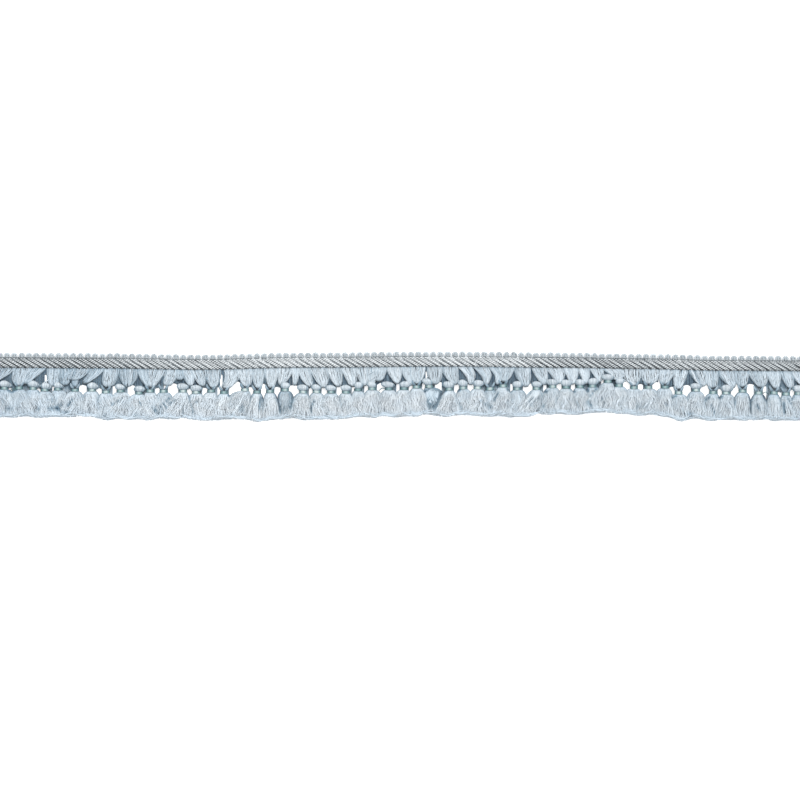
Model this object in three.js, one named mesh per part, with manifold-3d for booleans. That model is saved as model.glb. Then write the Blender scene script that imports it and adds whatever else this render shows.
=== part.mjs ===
// Tassel trim: a cut length of braided heading with a skirt of gathered yarn loops and a row of
// small tied tassels that hang on the loops. It lies on its back. Millimetres, +X along the trim,
// +Y from the hem of the tassels to the heading, +Z up out of the surface that it lies on.

import * as THREE from 'three';
import { mergeVertices } from 'three/addons/utils/BufferGeometryUtils.js';
import Module from 'manifold-3d';

const wasm = await Module();
wasm.setup();

// Whole trim
const TRIM_LENGTH = 480;
const PIECE_GAP = 0.3;

// Braided heading: a band of slanting cords with a row of small loops along its top edge
const HEADING_DEPTH = 8.0;
const BAND_DEPTH = 5.6;
const CORD_PITCH = 4.2;
const CORD_RUN = 9.0;
const CORD_CREST = 2.4;
const CORD_VALLEY = 1.5;
const CORD_EDGE = 0.3;
const CREST_START = 0.3;
const CREST_END = 0.75;
const GROOVE_DEPTH = 0.6;
const GROOVE_TOP = 1.2;
const LOOP_CREST = 1.8;
const LOOP_ROUND = 0.9;
const LOOP_NOTCH = 1.1;

// Skirt: a narrow strip under the heading that carries the gathered bundles of yarn
const STRIP_DEPTH = 1.0;
const STRIP_STEPS = 36;
const STRIP_TOP = 1.3;
const BUNDLE_ROOT_TOP = 1.25;
const BUNDLE_MIDDLE_TOP = 1.2;
const BUNDLE_TIP_TOP = 1.0;
const BUNDLE_CROWN = 0.8;
const BUNDLE_TURN = 1.5;
const STRAIGHT_BUNDLE_STEPS = [0.7];
const BOWED_BUNDLE_STEPS = [0.4, 0.78];

// Tassel: a folded hank with a rounded head, a wrapped tie, round shoulders and locks of yarn
const TIE_DEPTH = 1.9;
const TIE_WIDTH = 4.4;
const TIE_LOW = 1.6;
const TIE_HIGH = 3.9;
const HEAD_HEIGHT = 3.8;
const HEAD_LOW = 1.6;
const HEAD_HIGH = 5.0;
const LOBE_HEIGHT = 3.0;
const LOBE_CROWN = 0.6;
const ROUND_TOP = 0.55;
const FLAT_TOP = 0.8;
const SHOULDER_DROP = 2.6;
const SHOULDER_WIDTH = 7.0;
const SHOULDER_LOW = 0.8;
const SHOULDER_HIGH = 4.2;
const LOCKS = 4;
const LOCK_CROWN = 0.76;
const OUTER_LOCK = 0.78;
const ROOT_DROP = 2.0;
const ROOT_WIDTH = 5.0;
const ROOT_LOW = 1.7;
const ROOT_HIGH = 3.6;
const SWELL_DROP = 4.8;
const SWELL_SHARE = 0.88;
const SWELL_HIGH = 3.9;
const HEM_HIGH = 2.6;
const HEM_STEPS = [0.0, 0.5, 0.2, -0.3];

// Sections of a head that faces the front, from its crown down to the tie
// share of its height, share of its width, share of its thickness
const HEAD_PROFILE = [
  [1.0, 0.5, 0.4],
  [0.75, 0.86, 0.8],
  [0.35, 1.0, 1.0],
];

// Sections of one half of a head that is turned side-on, from its crown down into the tie
// share of its height, distance from the middle, width, low side, high side
const LOBE_PROFILE = [
  [1.0, 1.35, 1.2, 2.2, 3.5],
  [0.5, 1.5, 2.3, 1.6, 4.4],
  [-0.1, 1.05, 1.4, 2.0, 3.5],
];

// Swing of the heading's top edge from a straight line, at places along the trim
// place, height
const HEADING_SWING = [
  [-270, 19.3],
  [-170, 18.8],
  [-115, 18.0],
  [-55, 19.2],
  [25, 19.8],
  [90, 19.2],
  [140, 18.4],
  [185, 17.4],
  [270, 17.0],
];

// Every bundle of the skirt, from left to right: where it starts under the heading, where it ends,
// how far down, how far it bows to the right on its way, and how late it draws in to its end. Its
// places are read off the photo in marks of 0.5715 mm. Mark 400 is the middle of the trim, and
// mark 387 downward is at Y = 0.
// left, right, left at its end, right at its end, end, bow, late
const MARK = 0.5715;
const MIDDLE_MARK = 400;
const LEVEL_MARK = 387;
const BUNDLES = [
  [-20, -7, -20, -15, 386, 0, 3],
  [-7, 14, -14, -3, 383, 0, 2],
  [14, 31, 14, 24, 386, -1, 3],
  [30, 46, 23, 29, 384, -2, 2],
  [47, 60, 49, 57, 386.5, 0.5, 5],
  [61, 71, 59, 69, 385.5, 0, 4],
  [71, 91, 68, 80, 380.5, -1, 2.5],
  [72, 79, 71.5, 77.5, 387.5, 0, 3],
  [91, 104, 82, 89, 383.5, 0, 2],
  [104, 119, 103, 113, 387.5, 0, 4],
  [119, 137, 124, 131, 387, 0, 3],
  [137, 148, 146, 151, 387.5, 0, 2],
  [148, 165, 150, 154, 387.5, -1, 2],
  [166, 179, 163, 172, 386, 0, 3],
  [176, 184, 176, 184, 380, 0, 4],
  [180, 192, 188, 193, 386.5, 1.5, 2.5],
  [191, 205, 200, 204.5, 386.5, 0.5, 2],
  [205, 220, 211, 216, 388.5, 0, 2.5],
  [224, 238, 221.5, 230.5, 389, 3, 3],
  [238, 252, 243, 250, 387, 0, 2.5],
  [252.5, 265, 256, 261, 388.8, 0, 2.5],
  [265, 278, 268.5, 274, 388.3, 0, 2.5],
  [278, 293, 278.5, 284, 385.5, 0, 1.6],
  [292, 299, 293, 296, 385.5, 0, 2],
  [297, 309, 307, 313, 387, 0, 3],
  [309, 326, 320.5, 326.5, 388, 1, 2],
  [326, 341, 335.5, 341, 387, 0.5, 2],
  [341, 355, 350, 355, 386.5, 1, 2],
  [355, 368, 362, 367, 386, 0.5, 2],
  [368, 378, 367, 374, 387, 0, 3],
  [377, 386, 374, 383, 381.5, 1, 4],
  [386, 402, 395.5, 399, 384, 0.5, 1.5],
  [402, 411, 408.5, 414, 385.7, 0, 3],
  [410.5, 425, 414, 420, 384, 0, 3],
  [427.5, 442, 431, 439, 384.5, 0, 3],
  [443, 457.5, 452, 458.5, 385, -1, 3],
  [457.5, 472, 468, 473, 385, 3, 0.8],
  [472.5, 488, 483.5, 488.5, 385, 3.5, 0.8],
  [488, 501, 495, 500, 384.5, 3, 0.9],
  [501, 514, 501, 507, 382, 0, 3.5],
  [514.5, 530, 523, 529, 387, -0.5, 2.5],
  [531.5, 546, 541, 547.5, 385, 1, 1.5],
  [546, 563, 556.5, 561.5, 384, 1.5, 1.5],
  [563.5, 577.5, 570, 575, 384.5, 1, 1.5],
  [578, 589, 583.5, 588, 384, 1, 1.5],
  [589, 602, 597, 602, 382, 1.5, 1.5],
  [602, 620, 615, 619.5, 380.5, 3, 3],
  [621, 642, 631, 637, 386, 0, 2],
  [642, 658.5, 645, 654.5, 384.5, 0, 5],
  [660.5, 674.5, 660, 668, 384.3, -0.5, 3],
  [674.5, 688, 675, 681, 389.5, 0, 2.5],
  [689, 706, 700, 705.5, 386.5, 1, 2.5],
  [706, 718, 708, 716.5, 388.3, 0, 5],
  [718, 733.5, 730.5, 735.5, 388, 0.5, 2],
  [733.5, 748, 738, 745.5, 387, 0, 3.5],
  [748, 766.5, 757.5, 765, 387.5, 0.5, 2],
  [766.5, 780, 773.5, 779, 388.8, 0, 2],
  [780, 791, 787, 794, 388.5, 1, 3],
  [791, 806, 802, 806, 387, 0.5, 2],
  [806, 820, 812, 818, 387, 0, 3],
];

// Every tassel: the place of its tie along the trim, the heights of its tie and of its hem, how
// far the hem leans along the trim, how wide the hem spreads, and the width of its head. A head
// of width 0 is turned side-on, so that the loop comes down between its two halves.
// along, tie, hem, lean, spread, head
const TASSELS = [
  [-234.0, -1.0, -17.4, 0.4, 10.0, 6.0],
  [-226.0, -0.6, -17.2, 0.6, 10.6, 6.3],
  [-217.7, -0.6, -16.8, 1.0, 10.2, 0],
  [-209.7, -0.7, -16.9, 1.6, 10.4, 5.7],
  [-202.9, -1.7, -17.2, 1.6, 9.8, 4.6],
  [-195.5, -1.2, -17.0, 0.2, 10.2, 4.2],
  [-185.7, -1.8, -16.6, -2.0, 11.2, 0],
  [-176.0, -1.7, -17.0, -0.4, 10.8, 5.7],
  [-168.0, -2.8, -18.5, 0.0, 10.4, 0],
  [-159.7, -2.3, -18.2, 0.0, 10.6, 5.1],
  [-149.2, -3.4, -18.4, -1.2, 10.8, 5.7],
  [-142.9, -2.4, -18.6, 0.4, 9.6, 0],
  [-135.2, -2.4, -17.8, -1.8, 10.8, 0],
  [-124.0, -2.3, -18.0, -2.4, 11.4, 6.3],
  [-116.6, -3.1, -18.7, -0.4, 10.2, 6.3],
  [-108.0, -2.4, -18.6, -1.0, 10.6, 0],
  [-100.6, -3.1, -18.8, -1.0, 10.8, 0],
  [-88.6, -1.6, -17.8, -4.2, 11.6, 0],
  [-81.7, -2.9, -19.8, -0.6, 11.2, 0],
  [-74.3, -2.6, -18.9, 0.0, 11.4, 0],
  [-65.7, -1.6, -17.6, -0.4, 10.6, 4.9],
  [-55.4, -2.8, -18.4, 0.2, 10.8, 5.9],
  [-47.7, -2.6, -18.6, 0.8, 10.4, 4.9],
  [-39.4, -2.9, -18.4, 0.2, 10.6, 5.5],
  [-30.9, -2.9, -17.6, 0.2, 10.6, 5.5],
  [-24.0, -1.6, -17.0, 0.2, 9.8, 4.3],
  [-16.0, -1.0, -17.1, 0.4, 10.2, 4.6],
  [-6.3, -1.0, -16.7, 0.4, 10.8, 6.9],
  [2.3, -0.9, -17.0, 0.0, 10.6, 6.0],
  [9.4, 0.0, -16.2, 0.2, 10.2, 0],
  [16.6, 0.4, -15.6, 1.4, 8.6, 5.1],
  [28.0, -1.2, -16.9, -1.4, 13.0, 6.0],
  [36.0, -0.4, -15.9, 0.0, 10.0, 5.0],
  [44.3, -0.4, -16.0, 1.2, 10.6, 5.9],
  [51.4, -1.1, -17.0, 0.8, 9.8, 0],
  [58.9, 0.6, -16.4, -1.6, 10.6, 0],
  [66.9, -1.0, -17.2, -0.2, 10.6, 5.3],
  [78.0, -0.8, -16.4, -4.0, 12.0, 5.3],
  [87.2, 0.3, -15.1, -0.6, 10.8, 6.3],
  [94.9, -0.2, -15.6, 0.0, 10.4, 5.5],
  [102.9, 0.2, -15.4, 0.0, 10.4, 5.1],
  [110.0, 0.6, -14.9, -0.8, 10.4, 5.5],
  [118.9, 3.2, -14.0, -0.4, 11.0, 6.3],
  [125.2, 0.9, -15.2, 0.6, 9.6, 4.2],
  [133.7, -0.3, -16.0, 0.4, 10.6, 0],
  [142.0, -0.2, -15.9, 0.2, 10.6, 0],
  [151.4, 0.0, -16.2, -0.8, 11.0, 0],
  [159.2, -3.4, -19.4, 0.0, 11.2, 0],
  [169.2, -1.8, -17.8, 0.0, 11.0, 5.9],
  [178.9, -3.1, -19.0, -1.0, 11.2, 0],
  [186.3, -3.4, -18.9, 0.2, 10.6, 6.3],
  [195.7, -2.4, -18.6, 0.0, 11.2, 0],
  [204.9, -3.4, -18.7, 0.0, 11.0, 0],
  [213.7, -3.4, -18.9, 0.2, 10.6, 0],
  [220.6, -4.0, -19.0, 0.6, 10.2, 0],
  [227.5, -3.6, -18.6, 0.2, 10.2, 6.0],
  [234.6, -3.2, -18.4, -0.2, 10.0, 5.8],
].map(([along, tie, hem, lean, spread, head]) => ({ along, tie, hem, lean, spread, head }));

// Finishes
const headingCord = new THREE.MeshStandardMaterial({ color: 0xb6bdc2, roughness: 0.62, metalness: 0 });
const skirtYarn = new THREE.MeshStandardMaterial({ color: 0xc6d2da, roughness: 0.7, metalness: 0 });
const tasselYarn = new THREE.MeshStandardMaterial({ color: 0xccd6dd, roughness: 0.7, metalness: 0 });

function mix(a, b, share) {
  return a + (b - a) * share;
}

// Value at a place, from a table with a place and a value in each row. It eases from row to row
// along half a cosine wave.
function valueAt(table, place) {
  const right = table.findIndex((row) => row[0] > place);
  const [x0, y0] = table[right - 1];
  const [x1, y1] = table[right];
  return mix(y0, y1, (1 - Math.cos((Math.PI * (place - x0)) / (x1 - x0))) / 2);
}

// Closed body through a row of like sections, each a flat outline of the same number of points,
// with a flat face over the first and over the last one. All faces point outwards.
function loft(sections) {
  const count = sections[0].length;
  const last = (sections.length - 1) * count;
  const faces = [];
  for (let row = 0; row < last; row += count) {
    for (let side = 0; side < count; side += 1) {
      const a = row + side;
      const b = row + ((side + 1) % count);
      faces.push([a, b, b + count], [a, b + count, a + count]);
    }
  }
  for (const [a, b, c] of faceOver(sections[0])) faces.push([a, c, b]);
  for (const [a, b, c] of faceOver(sections.at(-1))) faces.push([last + a, last + b, last + c]);
  const points = sections.flat();
  const volume = faces.reduce((sum, [a, b, c]) => (
    sum + points[a].dot(new THREE.Vector3().crossVectors(points[b], points[c]))
  ), 0);
  if (volume < 0) faces.forEach((face) => face.reverse());
  const geometry = new THREE.BufferGeometry().setFromPoints(points);
  geometry.setIndex(faces.flat());
  return geometry;
}

// Triangles that fill a flat outline, in the direction in which its points run
function faceOver(outline) {
  const normal = new THREE.Vector3();
  outline.forEach((point, i) => {
    const next = outline[(i + 1) % outline.length];
    normal.add(new THREE.Vector3().crossVectors(point, next));
  });
  const turn = new THREE.Quaternion();
  turn.setFromUnitVectors(normal.normalize(), new THREE.Vector3(0, 0, 1));
  const flat = outline.map((point) => {
    const turned = point.clone().applyQuaternion(turn);
    return new THREE.Vector2(turned.x, turned.y);
  });
  return THREE.ShapeUtils.triangulateShape(flat, []);
}

function toSolid(geometry) {
  const plain = geometry.clone();
  plain.deleteAttribute('normal');
  plain.deleteAttribute('uv');
  const merged = mergeVertices(plain, 1e-4);
  return new wasm.Manifold(new wasm.Mesh({
    numProp: 3,
    vertProperties: new Float32Array(merged.attributes.position.array),
    triVerts: new Uint32Array(merged.index.array),
  }));
}

function toGeometry(solid) {
  const mesh = solid.getMesh();
  const geometry = new THREE.BufferGeometry();
  geometry.setAttribute('position', new THREE.BufferAttribute(mesh.vertProperties, 3));
  geometry.setIndex(Array.from(mesh.triVerts));
  return geometry;
}

function joined(geometries) {
  return toGeometry(geometries.map(toSolid).reduce((whole, next) => whole.add(next)));
}

function namedMesh(name, geometry, material) {
  geometry.computeVertexNormals();
  const mesh = new THREE.Mesh(geometry, material);
  mesh.name = name;
  return mesh;
}

function headingLowerEdge(along) {
  return valueAt(HEADING_SWING, along) - HEADING_DEPTH;
}

// The heading. Every cord crosses the band on a slant, down to the right, and has three sections:
// the valley before it and the two sides of its crest. Above the band, past a shallow groove,
// the cord comes round in a small loop that stands out of the top edge. Cords past both ends are
// cut off square.
function makeHeading() {
  const sections = [];
  const half = Math.ceil((TRIM_LENGTH / 2 + CORD_RUN) / CORD_PITCH);
  for (let cord = -half; cord <= half; cord += 1) {
    for (const share of [0, CREST_START, CREST_END]) {
      const isValley = share === 0;
      const bandTop = isValley ? CORD_VALLEY : CORD_CREST;
      const loopTop = isValley ? GROOVE_TOP : LOOP_CREST;
      const loopEdge = isValley ? HEADING_DEPTH - LOOP_NOTCH : HEADING_DEPTH;
      const outline = [
        [0, 0],
        [0, bandTop],
        [BAND_DEPTH - CORD_EDGE, bandTop],
        [BAND_DEPTH + GROOVE_DEPTH / 2, GROOVE_TOP],
        [loopEdge - LOOP_ROUND, loopTop],
        [loopEdge, 0],
      ];
      sections.push(outline.map(([depth, height]) => {
        const slant = CORD_RUN * Math.max(0, 1 - depth / BAND_DEPTH);
        const along = (cord + share) * CORD_PITCH + slant;
        return new THREE.Vector3(along, headingLowerEdge(along) + depth, height);
      }));
    }
  }
  const cut = toSolid(new THREE.BoxGeometry(TRIM_LENGTH, TRIM_LENGTH, TRIM_LENGTH));
  return toGeometry(toSolid(loft(sections)).intersect(cut));
}

// Section of a bundle or a lock: a flat foot and a narrower crown
function bundleSection(left, right, height, low, high, crown) {
  const middle = (left + right) / 2;
  return [
    new THREE.Vector3(left, height, low),
    new THREE.Vector3(right, height, low),
    new THREE.Vector3(mix(middle, right, crown), height, high),
    new THREE.Vector3(mix(middle, left, crown), height, high),
  ];
}

// One bundle of the skirt. It starts in the strip, keeps most of its width on its way down and
// draws in to its end. BUNDLE_TURN sets how late it goes over to its end's place.
function makeBundle([from, to, endFrom, endTo, endMark, bow, late]) {
  const inTrim = (along) => Math.min(Math.max(along, -TRIM_LENGTH / 2), TRIM_LENGTH / 2);
  const places = [from, to, endFrom, endTo].map((mark) => (mark - MIDDLE_MARK) * MARK);
  const [left, right, endLeft, endRight] = places.map(inTrim);
  const root = headingLowerEdge((left + right) / 2) - PIECE_GAP - STRIP_DEPTH / 2;
  const end = (LEVEL_MARK - endMark) * MARK;
  const cut = (place, top) => {
    const pull = place ** late;
    const swing = bow * MARK * Math.sin(Math.PI * place);
    const over = place ** BUNDLE_TURN;
    const middle = mix((left + right) / 2, (endLeft + endRight) / 2, over) + swing;
    const half = mix((right - left - PIECE_GAP) / 2, (endRight - endLeft) / 2, pull);
    const height = mix(root, end, place);
    return bundleSection(inTrim(middle - half), inTrim(middle + half), height, 0, top, BUNDLE_CROWN);
  };
  const steps = bow === 0 ? STRAIGHT_BUNDLE_STEPS : BOWED_BUNDLE_STEPS;
  return loft([
    cut(0, BUNDLE_ROOT_TOP),
    ...steps.map((place) => cut(place, BUNDLE_MIDDLE_TOP)),
    cut(1, BUNDLE_TIP_TOP),
  ]);
}

// The skirt: the strip, and the bundles that start side by side in it.
function makeSkirt() {
  const strip = [];
  for (let step = 0; step <= STRIP_STEPS; step += 1) {
    const along = TRIM_LENGTH * (step / STRIP_STEPS - 0.5);
    const top = headingLowerEdge(along) - PIECE_GAP;
    strip.push([
      new THREE.Vector3(along, top, 0),
      new THREE.Vector3(along, top - STRIP_DEPTH, 0),
      new THREE.Vector3(along, top - STRIP_DEPTH, STRIP_TOP),
      new THREE.Vector3(along, top, STRIP_TOP),
    ]);
  }
  return joined([loft(strip), ...BUNDLES.map(makeBundle)]);
}

// Six-sided section across a tassel, at a height along it. Its top and bottom sides take up the
// given share of its width.
function roundSection(left, right, height, low, high, flat) {
  const middle = (left + right) / 2;
  return [
    new THREE.Vector3(left, height, (low + high) / 2),
    new THREE.Vector3(mix(middle, left, flat), height, low),
    new THREE.Vector3(mix(middle, right, flat), height, low),
    new THREE.Vector3(right, height, (low + high) / 2),
    new THREE.Vector3(mix(middle, right, flat), height, high),
    new THREE.Vector3(mix(middle, left, flat), height, high),
  ];
}

// Line in the plan that parts a tassel from the next one. It runs from the middle between their
// ties to a point between their hems that leaves each hem room in step with its spread.
function partingLine(tassel, next) {
  const share = tassel.spread / (tassel.spread + next.spread);
  const top = (tassel.tie + next.tie) / 2;
  const bottom = (tassel.hem + next.hem) / 2;
  const topAlong = (tassel.along + next.along) / 2;
  const bottomAlong = mix(tassel.along + tassel.lean, next.along + next.lean, share);
  return (height) => mix(topAlong, bottomAlong, (height - top) / (bottom - top));
}

// One tassel: head, tie and shoulders in one round body, and the locks fused into its shoulders
function makeTassel(tassel, partLeft, partRight) {
  const { along, tie, hem, lean, spread, head } = tassel;
  const drop = tie - hem;
  const sides = (width, below) => {
    const height = tie - below;
    const middle = along + (lean * Math.max(0, below)) / drop;
    const left = Math.max(middle - width / 2, partLeft(height) + PIECE_GAP / 2);
    const right = Math.min(middle + width / 2, partRight(height) - PIECE_GAP / 2);
    return [left, right, height];
  };
  const halfTie = TIE_DEPTH / 2;
  const neck = [
    roundSection(...sides(TIE_WIDTH, -halfTie), TIE_LOW, TIE_HIGH, FLAT_TOP),
    roundSection(...sides(TIE_WIDTH, halfTie), TIE_LOW, TIE_HIGH, FLAT_TOP),
    roundSection(...sides(SHOULDER_WIDTH, SHOULDER_DROP), SHOULDER_LOW, SHOULDER_HIGH, FLAT_TOP),
  ];
  const pieces = head === 0
    ? [loft(neck), ...makeLobes(tassel)]
    : [loft([...makeCrown(tassel), ...neck])];
  for (let lock = 0; lock < LOCKS; lock += 1) {
    const isOuter = lock === 0 || lock === LOCKS - 1;
    const tall = isOuter ? OUTER_LOCK : 1;
    const reach = drop + HEM_STEPS[(lock + Math.round(spread)) % HEM_STEPS.length];
    const lane = (width, below, gap) => {
      const [left, right, height] = sides(width, below);
      const step = (right - left + gap) / LOCKS;
      return [left + lock * step, left + (lock + 1) * step - gap, height];
    };
    pieces.push(loft([
      bundleSection(...lane(ROOT_WIDTH, ROOT_DROP, 0), ROOT_LOW, ROOT_HIGH * tall, LOCK_CROWN),
      bundleSection(...lane(spread * SWELL_SHARE, SWELL_DROP, PIECE_GAP), 0, SWELL_HIGH * tall, LOCK_CROWN),
      bundleSection(...lane(spread, reach, PIECE_GAP), 0, HEM_HIGH * tall, LOCK_CROWN),
    ]));
  }
  return joined(pieces);
}

// Sections of a head that faces the front
function makeCrown({ along, tie, head }) {
  const middle = (HEAD_LOW + HEAD_HIGH) / 2;
  return HEAD_PROFILE.map(([share, wide, tall]) => {
    const low = mix(middle, HEAD_LOW, tall);
    const high = mix(middle, HEAD_HIGH, tall);
    const reach = (head * wide) / 2;
    const height = tie + TIE_DEPTH / 2 + HEAD_HEIGHT * share;
    return roundSection(along - reach, along + reach, height, low, high, ROUND_TOP);
  });
}

// The two halves of a head that is turned side-on, left and right of the loop between them
function makeLobes({ along, tie }) {
  return [-1, 1].map((side) => loft(LOBE_PROFILE.map(([share, apart, width, low, high]) => {
    const left = along + side * apart - width / 2;
    const height = tie + TIE_DEPTH / 2 + LOBE_HEIGHT * share;
    return bundleSection(left, left + width, height, low, high, LOBE_CROWN);
  })));
}

function makeTrim() {
  const trim = new THREE.Group();
  trim.add(namedMesh('heading_braid', makeHeading(), headingCord));
  trim.add(namedMesh('loop_skirt', makeSkirt(), skirtYarn));
  const parting = TASSELS.slice(1).map((next, i) => partingLine(TASSELS[i], next));
  const lines = [() => -TRIM_LENGTH / 2, ...parting, () => TRIM_LENGTH / 2];
  TASSELS.forEach((tassel, i) => {
    const name = `tassel_${String(i + 1).padStart(2, '0')}`;
    trim.add(namedMesh(name, makeTassel(tassel, lines[i], lines[i + 1]), tasselYarn));
  });
  const middle = new THREE.Box3().setFromObject(trim).getCenter(new THREE.Vector3());
  trim.position.set(-middle.x, -middle.y, 0);
  return trim;
}

export default makeTrim();
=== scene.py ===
"""Tassel trim, seen from straight above: a braided heading, a skirt of gathered yarn and a row of
small tied tassels. Every thread that shows is a strand of its own. The heading's edge and each
tassel's place and size are read off the solids, and the skirt's bundles lie where theirs do.

Lengths are in millimetres until a piece is made. X runs along the trim, Y from the hem to the
heading and Z up from the surface that the trim lies on.
"""

import math
from types import SimpleNamespace

import bpy
import numpy as np
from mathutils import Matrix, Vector


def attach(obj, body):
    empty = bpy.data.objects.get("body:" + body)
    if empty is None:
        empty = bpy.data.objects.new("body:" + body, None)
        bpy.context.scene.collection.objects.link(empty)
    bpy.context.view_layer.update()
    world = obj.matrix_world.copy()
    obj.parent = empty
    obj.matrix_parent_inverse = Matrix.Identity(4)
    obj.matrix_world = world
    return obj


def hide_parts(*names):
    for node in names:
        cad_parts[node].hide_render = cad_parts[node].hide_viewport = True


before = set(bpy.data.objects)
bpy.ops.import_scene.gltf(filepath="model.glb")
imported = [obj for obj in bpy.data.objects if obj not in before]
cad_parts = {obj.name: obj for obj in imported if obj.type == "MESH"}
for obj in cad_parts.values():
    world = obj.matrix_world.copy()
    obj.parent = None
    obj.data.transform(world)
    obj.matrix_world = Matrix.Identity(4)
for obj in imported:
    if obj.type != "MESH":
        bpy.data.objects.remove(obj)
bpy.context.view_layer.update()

MM = 0.001
# Half of the length that all threads keep to, a little less than the solids' own
HALF_LENGTH = 239.9

# Measures that the solids share. Only a head that faces the front rises above FACING_TOP.
BAND_DEPTH = 5.6
CORD_PITCH = 4.2
CORD_RUN = 9.0
TIE_DEPTH = 1.9
HEAD_HEIGHT = 3.8
LOBE_HEIGHT = 3.0
FACING_TOP = 4.7

# Threads and cords, each with half of its thickness
THREAD = 0.23
FINE_THREAD = 0.2
CORD_PLY = 0.245
LOOP_PLY = 0.36
LOOP_FILLING = 0.8
LOW_STITCH = 0.26
HIGH_STITCH = 0.18
BACK_THREAD = 0.36
HEM_THREAD = 0.22
TIE_THREAD = 0.23
CURL_THREAD = 0.26

# The length in which a twist goes once round, and how far plies lie from the middle of their cord
CORD_TWIST = 2.6
LOOP_TWIST = 2.9
THREAD_TWIST = 0.9
CORD_PLY_OUT = 0.265
LOOP_PLY_OUT = 0.3

# How the trim's appearance changes from place to place along it
# place, how dark the painted shade in the heading's grooves is, lightness of the tassels, how blue
# the yarn is
STRETCHES = np.array([
    [-240, 1.3, -0.045, 0.55],
    [-175, 1.1, 0.03, 0.45],
    [-115, 0.8, 0.035, 0.25],
    [-63, 0.5, 0.005, 0.15],
    [-45, 0.55, 0.005, 0.15],
    [-28, 0.8, 0.0, 0.15],
    [-5, 0.7, 0.02, 0.15],
    [20, 0.62, 0.035, 0.2],
    [70, 0.62, 0.01, 0.3],
    [85, 1.1, -0.005, 0.25],
    [140, 1.1, -0.005, 0.25],
    [155, 0.85, -0.005, 0.3],
    [180, 0.95, -0.02, 0.35],
    [240, 1.2, -0.065, 0.35],
])

# Every bundle of the skirt, from left to right: where it starts under the heading, where it ends,
# how far down, how far it bows to the right on its way, and how late it draws in to its end. Its
# places are read off the photo in marks of 0.5715 mm. Mark 400 is the middle of the trim, and
# mark 387 downward is 0.25 mm above the middle of its depth.
# left, right, left at its end, right at its end, end, bow, late
MARK = 0.5715
MIDDLE_MARK = 400
LEVEL_MARK = 387
LEVEL = 0.25
BUNDLES = np.array([
    [-20, -7, -20, -15, 386, 0, 3], [-7, 14, -14, -3, 383, 0, 2],
    [14, 31, 14, 24, 386, -1, 3], [30, 46, 23, 29, 384, -2, 2],
    [47, 60, 49, 57, 386.5, 0.5, 5], [61, 71, 59, 69, 385.5, 0, 4],
    [71, 91, 68, 80, 380.5, -1, 2.5], [72, 79, 71.5, 77.5, 387.5, 0, 3],
    [91, 104, 82, 89, 383.5, 0, 2], [104, 119, 103, 113, 387.5, 0, 4],
    [119, 137, 124, 131, 387, 0, 3], [137, 148, 146, 151, 387.5, 0, 2],
    [148, 165, 150, 154, 387.5, -1, 2], [166, 179, 163, 172, 386, 0, 3],
    [176, 184, 176, 184, 380, 0, 4], [180, 192, 188, 193, 386.5, 1.5, 2.5],
    [191, 205, 200, 204.5, 386.5, 0.5, 2], [205, 220, 211, 216, 388.5, 0, 2.5],
    [224, 238, 221.5, 230.5, 389, 3, 3], [238, 252, 243, 250, 387, 0, 2.5],
    [252.5, 265, 256, 261, 388.8, 0, 2.5], [265, 278, 268.5, 274, 388.3, 0, 2.5],
    [278, 293, 278.5, 284, 385.5, 0, 1.6], [292, 299, 293, 296, 385.5, 0, 2],
    [297, 309, 307, 313, 387, 0, 3], [309, 326, 320.5, 326.5, 388, 1, 2],
    [326, 341, 335.5, 341, 387, 0.5, 2], [341, 355, 350, 355, 386.5, 1, 2],
    [355, 368, 362, 367, 386, 0.5, 2], [368, 378, 367, 374, 387, 0, 3],
    [377, 386, 374, 383, 381.5, 1, 4], [386, 402, 395.5, 399, 384, 0.5, 1.5],
    [402, 411, 408.5, 414, 385.7, 0, 3], [410.5, 425, 414, 420, 384, 0, 3],
    [427.5, 442, 431, 439, 384.5, 0, 3], [443, 457.5, 452, 458.5, 385, -1, 3],
    [457.5, 472, 468, 473, 385, 3, 0.8], [472.5, 488, 483.5, 488.5, 385, 3.5, 0.8],
    [488, 501, 495, 500, 384.5, 3, 0.9], [501, 514, 501, 507, 382, 0, 3.5],
    [514.5, 530, 523, 529, 387, -0.5, 2.5], [531.5, 546, 541, 547.5, 385, 1, 1.5],
    [546, 563, 556.5, 561.5, 384, 1.5, 1.5], [563.5, 577.5, 570, 575, 384.5, 1, 1.5],
    [578, 589, 583.5, 588, 384, 1, 1.5], [589, 602, 597, 602, 382, 1.5, 1.5],
    [602, 620, 615, 619.5, 380.5, 3, 3], [621, 642, 631, 637, 386, 0, 2],
    [642, 658.5, 645, 654.5, 384.5, 0, 5], [660.5, 674.5, 660, 668, 384.3, -0.5, 3],
    [674.5, 688, 675, 681, 389.5, 0, 2.5], [689, 706, 700, 705.5, 386.5, 1, 2.5],
    [706, 718, 708, 716.5, 388.3, 0, 5], [718, 733.5, 730.5, 735.5, 388, 0.5, 2],
    [733.5, 748, 738, 745.5, 387, 0, 3.5], [748, 766.5, 757.5, 765, 387.5, 0.5, 2],
    [766.5, 780, 773.5, 779, 388.8, 0, 2], [780, 791, 787, 794, 388.5, 1, 3],
    [791, 806, 802, 806, 387, 0.5, 2], [806, 820, 812, 818, 387, 0, 3],
])
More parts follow.
